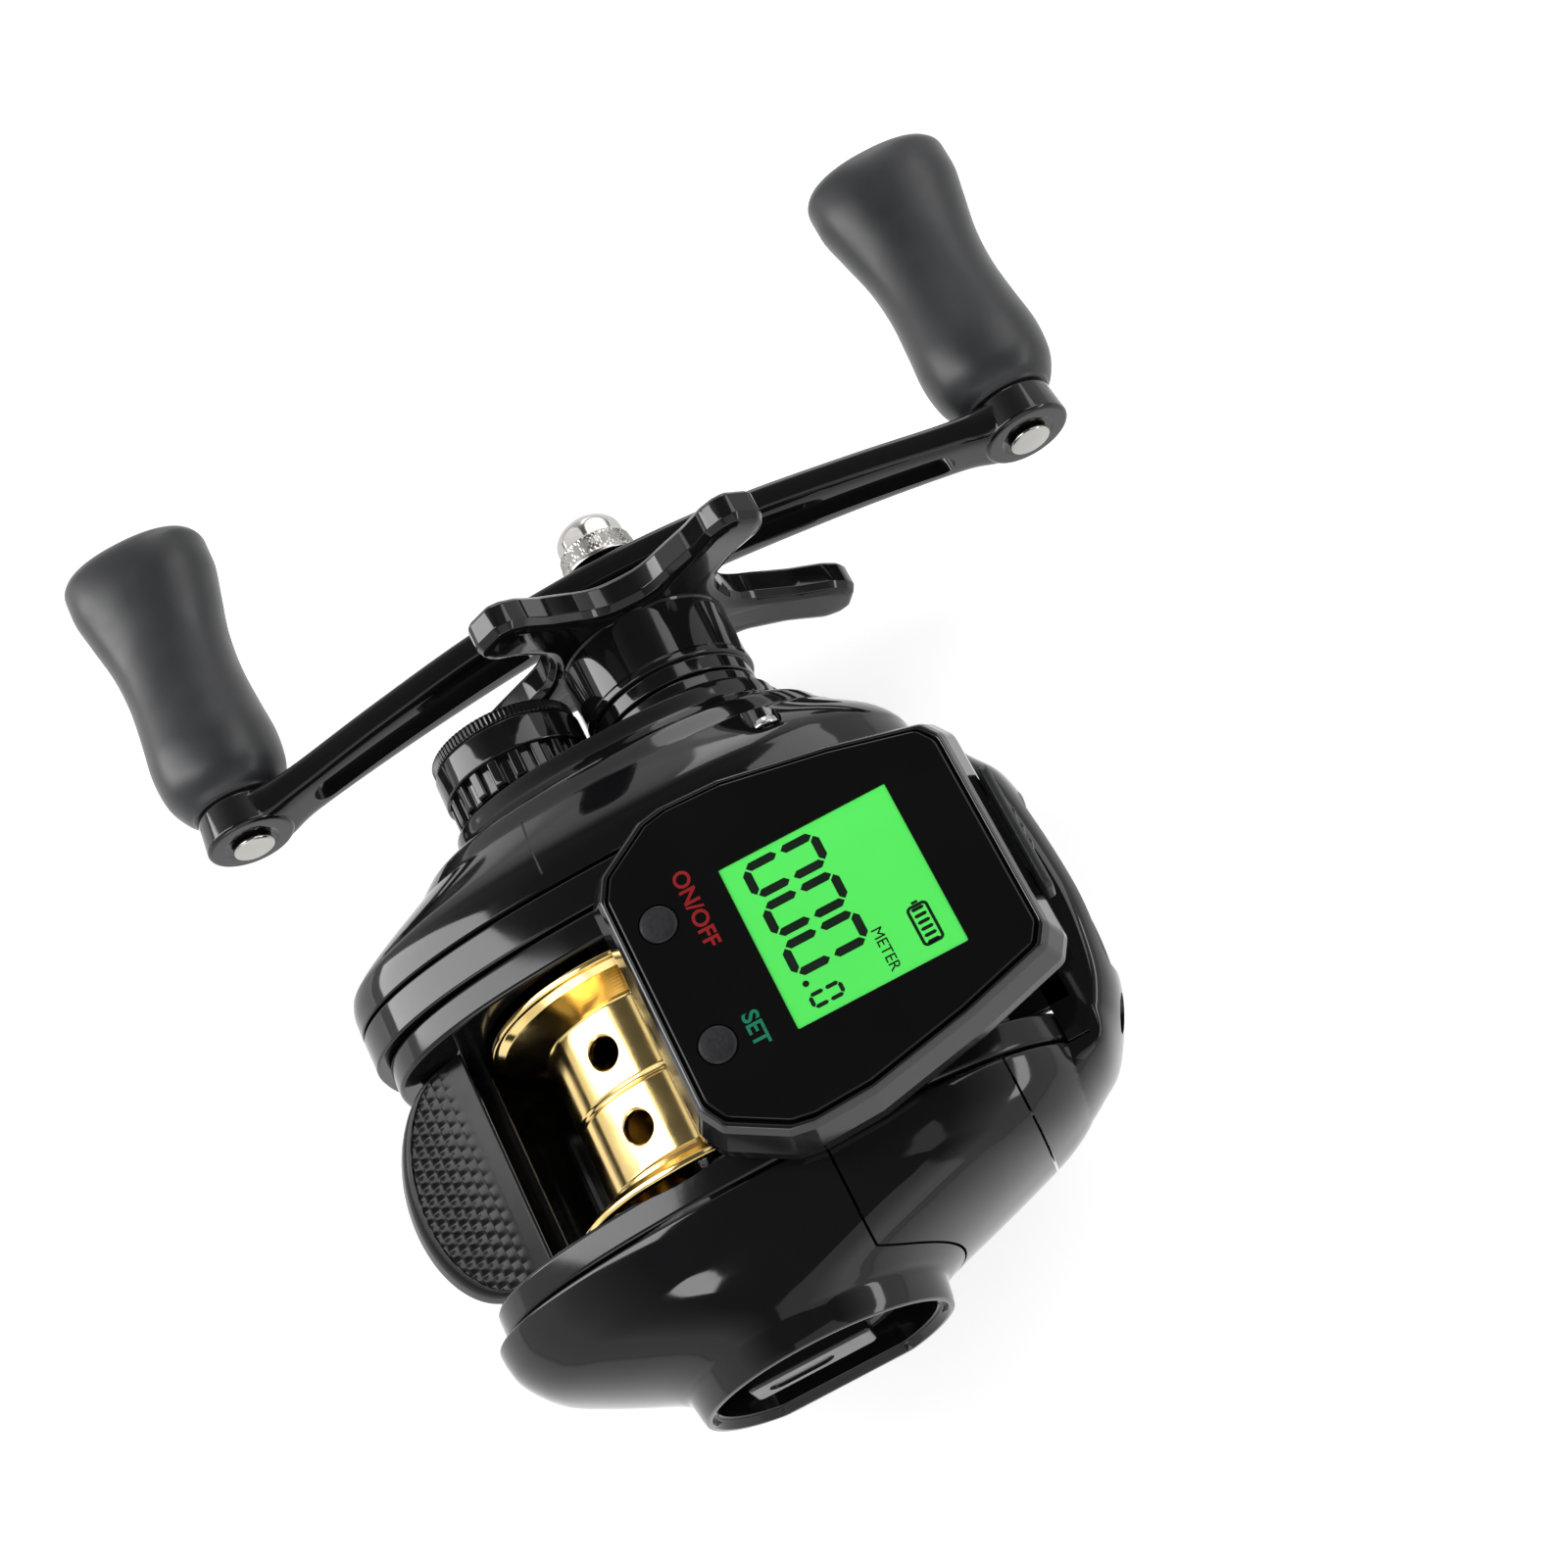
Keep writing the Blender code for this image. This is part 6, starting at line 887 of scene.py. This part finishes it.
def counterOutline(margin, soft=1.6):
    # Eight-sided outline as shares of the window's half width and length, grown all round by a margin.
    x = edgeShares[:, 0] * (counter["half"] + margin)
    ahead = counter["rear"] - margin + edgeShares[:, 1] * (counter["length"] + 2 * margin)
    points = np.vstack([np.stack([x, ahead], -1), np.stack([-x, ahead], -1)[::-1]])
    return eased(points + (counter["offset"], 0), soft, 5, True)


shell = eased([(1.8, counter["bottom"]), (2.5, 21.4), (2.3, 22.8), (1.25, 25.9), (0.75, counter["top"]),
               (0.3, counter["top"]), (0.3, 25.8), (-1.0, 25.8), (-1.0, counter["bottom"])], 0.3, 4, True)
rings = np.array([counterOutline(margin) for margin, _ in shell])
housing = stacked("counter_housing", shell[:, 1:], rings, upright, True)
port = {"x": (-6.1, 3.5), "rise": (20.35, 23.55), "ahead": (38, 50)}
combine(housing, box("port", port["x"], port["ahead"], port["rise"], 0.5))
settle(housing, "satin_black", "display_housing", sharp=40, finish="housing_edge")

pane = slab("counter_window", counterOutline(0), *counter["glass"], 0.28, upright)
lcd = {"x": (-11.2, 8.9), "ahead": (17.35, 37.55), "gap": np.array((0.02, -0.02))}
glassTop = counter["glass"][1]
combine(pane, box("opening", lcd["x"], lcd["ahead"], (20, 30), 0.25))
buttonPlaces = {"power_button": (-8.85, 9.1, "power_key"), "set_button": (6.25, 9.1, "set_key")}
for x, ahead, _ in buttonPlaces.values():
    combine(pane, turned("hole", [(24, 2.25), (glassTop + 0.3, 2.25)], x, ahead, 0.1, 64, lay=upright))
settle(pane, "window", "display_glass")
face = glassTop - 0.16
# The LCD panel glows with painted light from the lcd finish's emission.
settle(box("painted_glow_panel", lcd["x"] + lcd["gap"], lcd["ahead"] + lcd["gap"],
           (spanOf("lcd_panel")[0][2], face), 0.05), "lcd", "lcd_panel")

for node, (x, ahead, body) in buttonPlaces.items():
    low, high = spanOf(node)
    key = [(low[2], 2.12), (25.0, 2.12), (25.0, 2.5), (25.8, 2.5), (25.8, 2.12), (high[2] - 0.3, 2.1),
           (high[2] - 0.05, 1.85), (high[2], 1.2)]
    settle(turned(node + "_cap", key, x, ahead, 0.18, 64, lay=upright), "button_grey", node, body=body)


def segment(p, q, width):
    # A bar with pointed ends between two points, as on a segment display.
    p, q = np.array(p, float), np.array(q, float)
    along = (q - p) / np.linalg.norm(q - p)
    across = np.array((-along[1], along[0])) * width / 2
    tip = along * width / 2
    return np.array([p, p + tip - across, q - tip - across, q, q - tip + across, p + tip + across])


def digit(x, ahead, wide, tall, width):
    # Six of the seven bars of a nought, with small gaps at the corners.
    gap = width * 0.16
    left, right, low, high = x - wide / 2, x + wide / 2, ahead, ahead + tall
    mid = (low + high) / 2
    bars = [((left + gap, low), (right - gap, low)), ((left + gap, high), (right - gap, high))]
    for edge in (left, right):
        bars += [((edge, low + gap), (edge, mid - gap * 1.6)), ((edge, mid + gap * 1.6), (edge, high - gap))]
    return [segment(p, q, width) for p, q in bars]


ink = []
for x in (-8.17, -3.2, 1.73):
    ink += digit(x, 19.95, 3.35, 8.2, 0.98)
ink += digit(6.9, 20.0, 1.4, 3.45, 0.46)
ink.append(ringOutline(4.77, 20.25, 0.36, 20))
ink += [segment((2.9 + 0.78 * i, 33.6), (2.9 + 0.78 * i, 35.1), 0.4) + (0.22, 0) for i in range(6)]
batteryEdge = rectangle((2.55, 7.4), (33.1, 35.6), 0.6)
inkSpan = (face - counter["digitInk"], face + counter["digitInk"])
digits = [slab("ink", np.asarray(shape)[::-1], *inkSpan, 0, upright) for shape in ink]
battery = slab("battery", batteryEdge, *inkSpan, 0, upright)
combine(battery, slab("gap", inwards(batteryEdge, [0.34])[0], face - 1, face + 1, 0, upright))
terminal = box("terminal", (2.2, 2.5), (34.0, 34.7), inkSpan, 0)
settle(gather("panel_digits", digits + [battery, terminal]), "lcd", finish="ink_dark")


def words(name, text, size, x, ahead, level, finish, slot, weight=0.022):
    # Flat letters as a thin mesh, read from behind the reel, centred on a point.
    curve = bpy.data.curves.new(name, "FONT")
    curve.body = text
    curve.size = size * mm
    curve.align_x = curve.align_y = "CENTER"
    curve.extrude = 0.015 * mm
    curve.offset = weight * size * mm
    holder = placed(name, curve)
    mesh = meshOf(holder)
    bpy.data.objects.remove(holder)
    mesh.transform(Matrix.Translation(Vector(at(x, ahead, level))))
    settle(placed(name, mesh), slot, finish=finish)


words("word_meter", "METER", 1.75, 5.45, 29.4, face + 0.016, "ink_dark", "lcd", 0.0)
words("word_power", "ON/OFF", 2.6, -8.5, 13.35, glassTop + 0.012, "ink_red", "window")
words("word_set", "SET", 2.6, 6.6, 13.4, glassTop + 0.012, "ink_green", "window")

flapLow, flapHigh = spanOf("port_cover")
across, through, up = zip(flapLow, flapHigh)
flap = slab("soft_flap", rectangle(across, up, 1.0), *through, 0.35, forward)
for x in (-3.3, -1.3, 0.7):
    join(flap, box("rib", (x - 0.3, x + 0.3), (through[1] - 0.5, through[1] + 0.35), (up[0] + 1, up[1] - 1),
                   0.15))
settle(flap, "soft_rubber", "port_cover", body="port_flap")
print("display done")

# Camera, floor and light

view = {"lens": 65.03, "place": (101.7, 28.0, 309.8), "right": (0.429, 0.885, -0.1795),
        "back": (0.386, 0.0, 0.9225)}
backward = Vector(view["back"]).normalized()
rightward = Vector(view["right"])
rightward = (rightward - backward * rightward.dot(backward)).normalized()
upward = backward.cross(rightward)
lens = bpy.data.cameras.new("camera")
lens.lens = view["lens"]
lens.sensor_width = 36.0
lens.clip_start, lens.clip_end = 0.01, 50
camera = placed("camera", lens)
turnTo = Matrix((rightward, upward, backward)).transposed().to_4x4()
camera.matrix_world = Matrix.Translation(Vector(at(*view["place"]))) @ turnTo
bpy.context.scene.camera = camera

studio = {"floorDrop": 0.3, "span": 6.0, "paper": 0.55, "paperLift": 0.62, "ambient": 0.42,
          "ceiling": {"From Min": 0.45, "From Max": 0.88, "To Min": 1.0, "To Max": 0.1}}
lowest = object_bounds()[0][2]
mesh = bpy.data.meshes.new("floor")
corners = np.array([(-1, -1), (1, -1), (1, 1), (-1, 1)]) * studio["span"]
mesh.from_pydata([(x, y, lowest - studio["floorDrop"] * mm) for x, y in corners], [], [(0, 1, 2, 3)])
ground = placed("floor", mesh)


def seen(tree):
    # One for rays that show a surface: the camera's, mirrored and refracted ones. Then the camera's alone.
    rays = make(tree, "LightPath").outputs
    total = rays["Is Camera Ray"]
    for kind in ("Is Glossy Ray", "Is Transmission Ray"):
        total = make(tree, "Math", {0: total, 1: rays[kind]}, operation="MAXIMUM").outputs["Value"]
    return total, rays["Is Camera Ray"]


def blend(tree, share, low, high):
    # A number that goes from low to high with the share.
    return make(tree, "Mix", {0: share, 2: low, 3: high}, data_type="FLOAT").outputs[0]


paper = bpy.data.materials.new("white paper")
paper.use_nodes = True
tree = paper.node_tree
lifted = blend(tree, seen(tree)[0], 0.0, studio["paperLift"])
feed(tree, tree.nodes["Principled BSDF"], {
    "Base Color": (studio["paper"],) * 3 + (1,), "Roughness": 0.9, "Specular IOR Level": 0.0,
    "Emission Color": (1, 1, 1, 1), "Emission Strength": lifted})
mesh.materials.append(paper)

# White all round at eye level, with a dim ceiling that only mirrored rays meet
world = bpy.data.worlds.new("studio")
bpy.context.scene.world = world
world.use_nodes = True
tree = world.node_tree
height = make(tree, "SeparateXYZ", {"Vector": make(tree, "TexCoord").outputs["Generated"]}).outputs["Z"]
ceiling = make(tree, "MapRange", {"Value": height, **studio["ceiling"]}).outputs["Result"]
anyRay, cameraRay = seen(tree)
strength = blend(tree, anyRay, studio["ambient"], blend(tree, cameraRay, ceiling, 1.0))
feed(tree, tree.nodes["Background"], {"Strength": strength, "Color": (1, 1, 1, 1)})

lamps = {   # place from the spool's middle in millimetres, size in metres, watts
    "backWindow": ((-239, -431, 375), (0.2, 0.72), 3.6),
    "gearWindow": ((-600, 150, 200), (0.2, 0.4), 0.7),
    "frontStrip": ((120, 620, 300), (0.5, 0.1), 0.9),
    "palmFill": ((520, -300, 260), (0.3, 0.3), 0.8),
    "noseWindow": ((-232, 380, 420), (0.26, 0.36), 0.8),
    "palmSoft": ((470, 100, 440), (0.5, 0.8), 0.9),
}
for name, (place, size, watts) in lamps.items():
    light = bpy.data.lights.new(name, "AREA")
    light.shape = "RECTANGLE"
    light.size, light.size_y = size
    light.energy = watts
    lamp = placed(name, light)
    lamp.visible_camera = False
    lamp.location = Vector(at(*place))
    lamp.rotation_euler = (Vector(axis) - lamp.location).to_track_quat("-Z", "Y").to_euler()

bpy.context.scene.view_settings.view_transform = "Standard"
print("camera and light done")
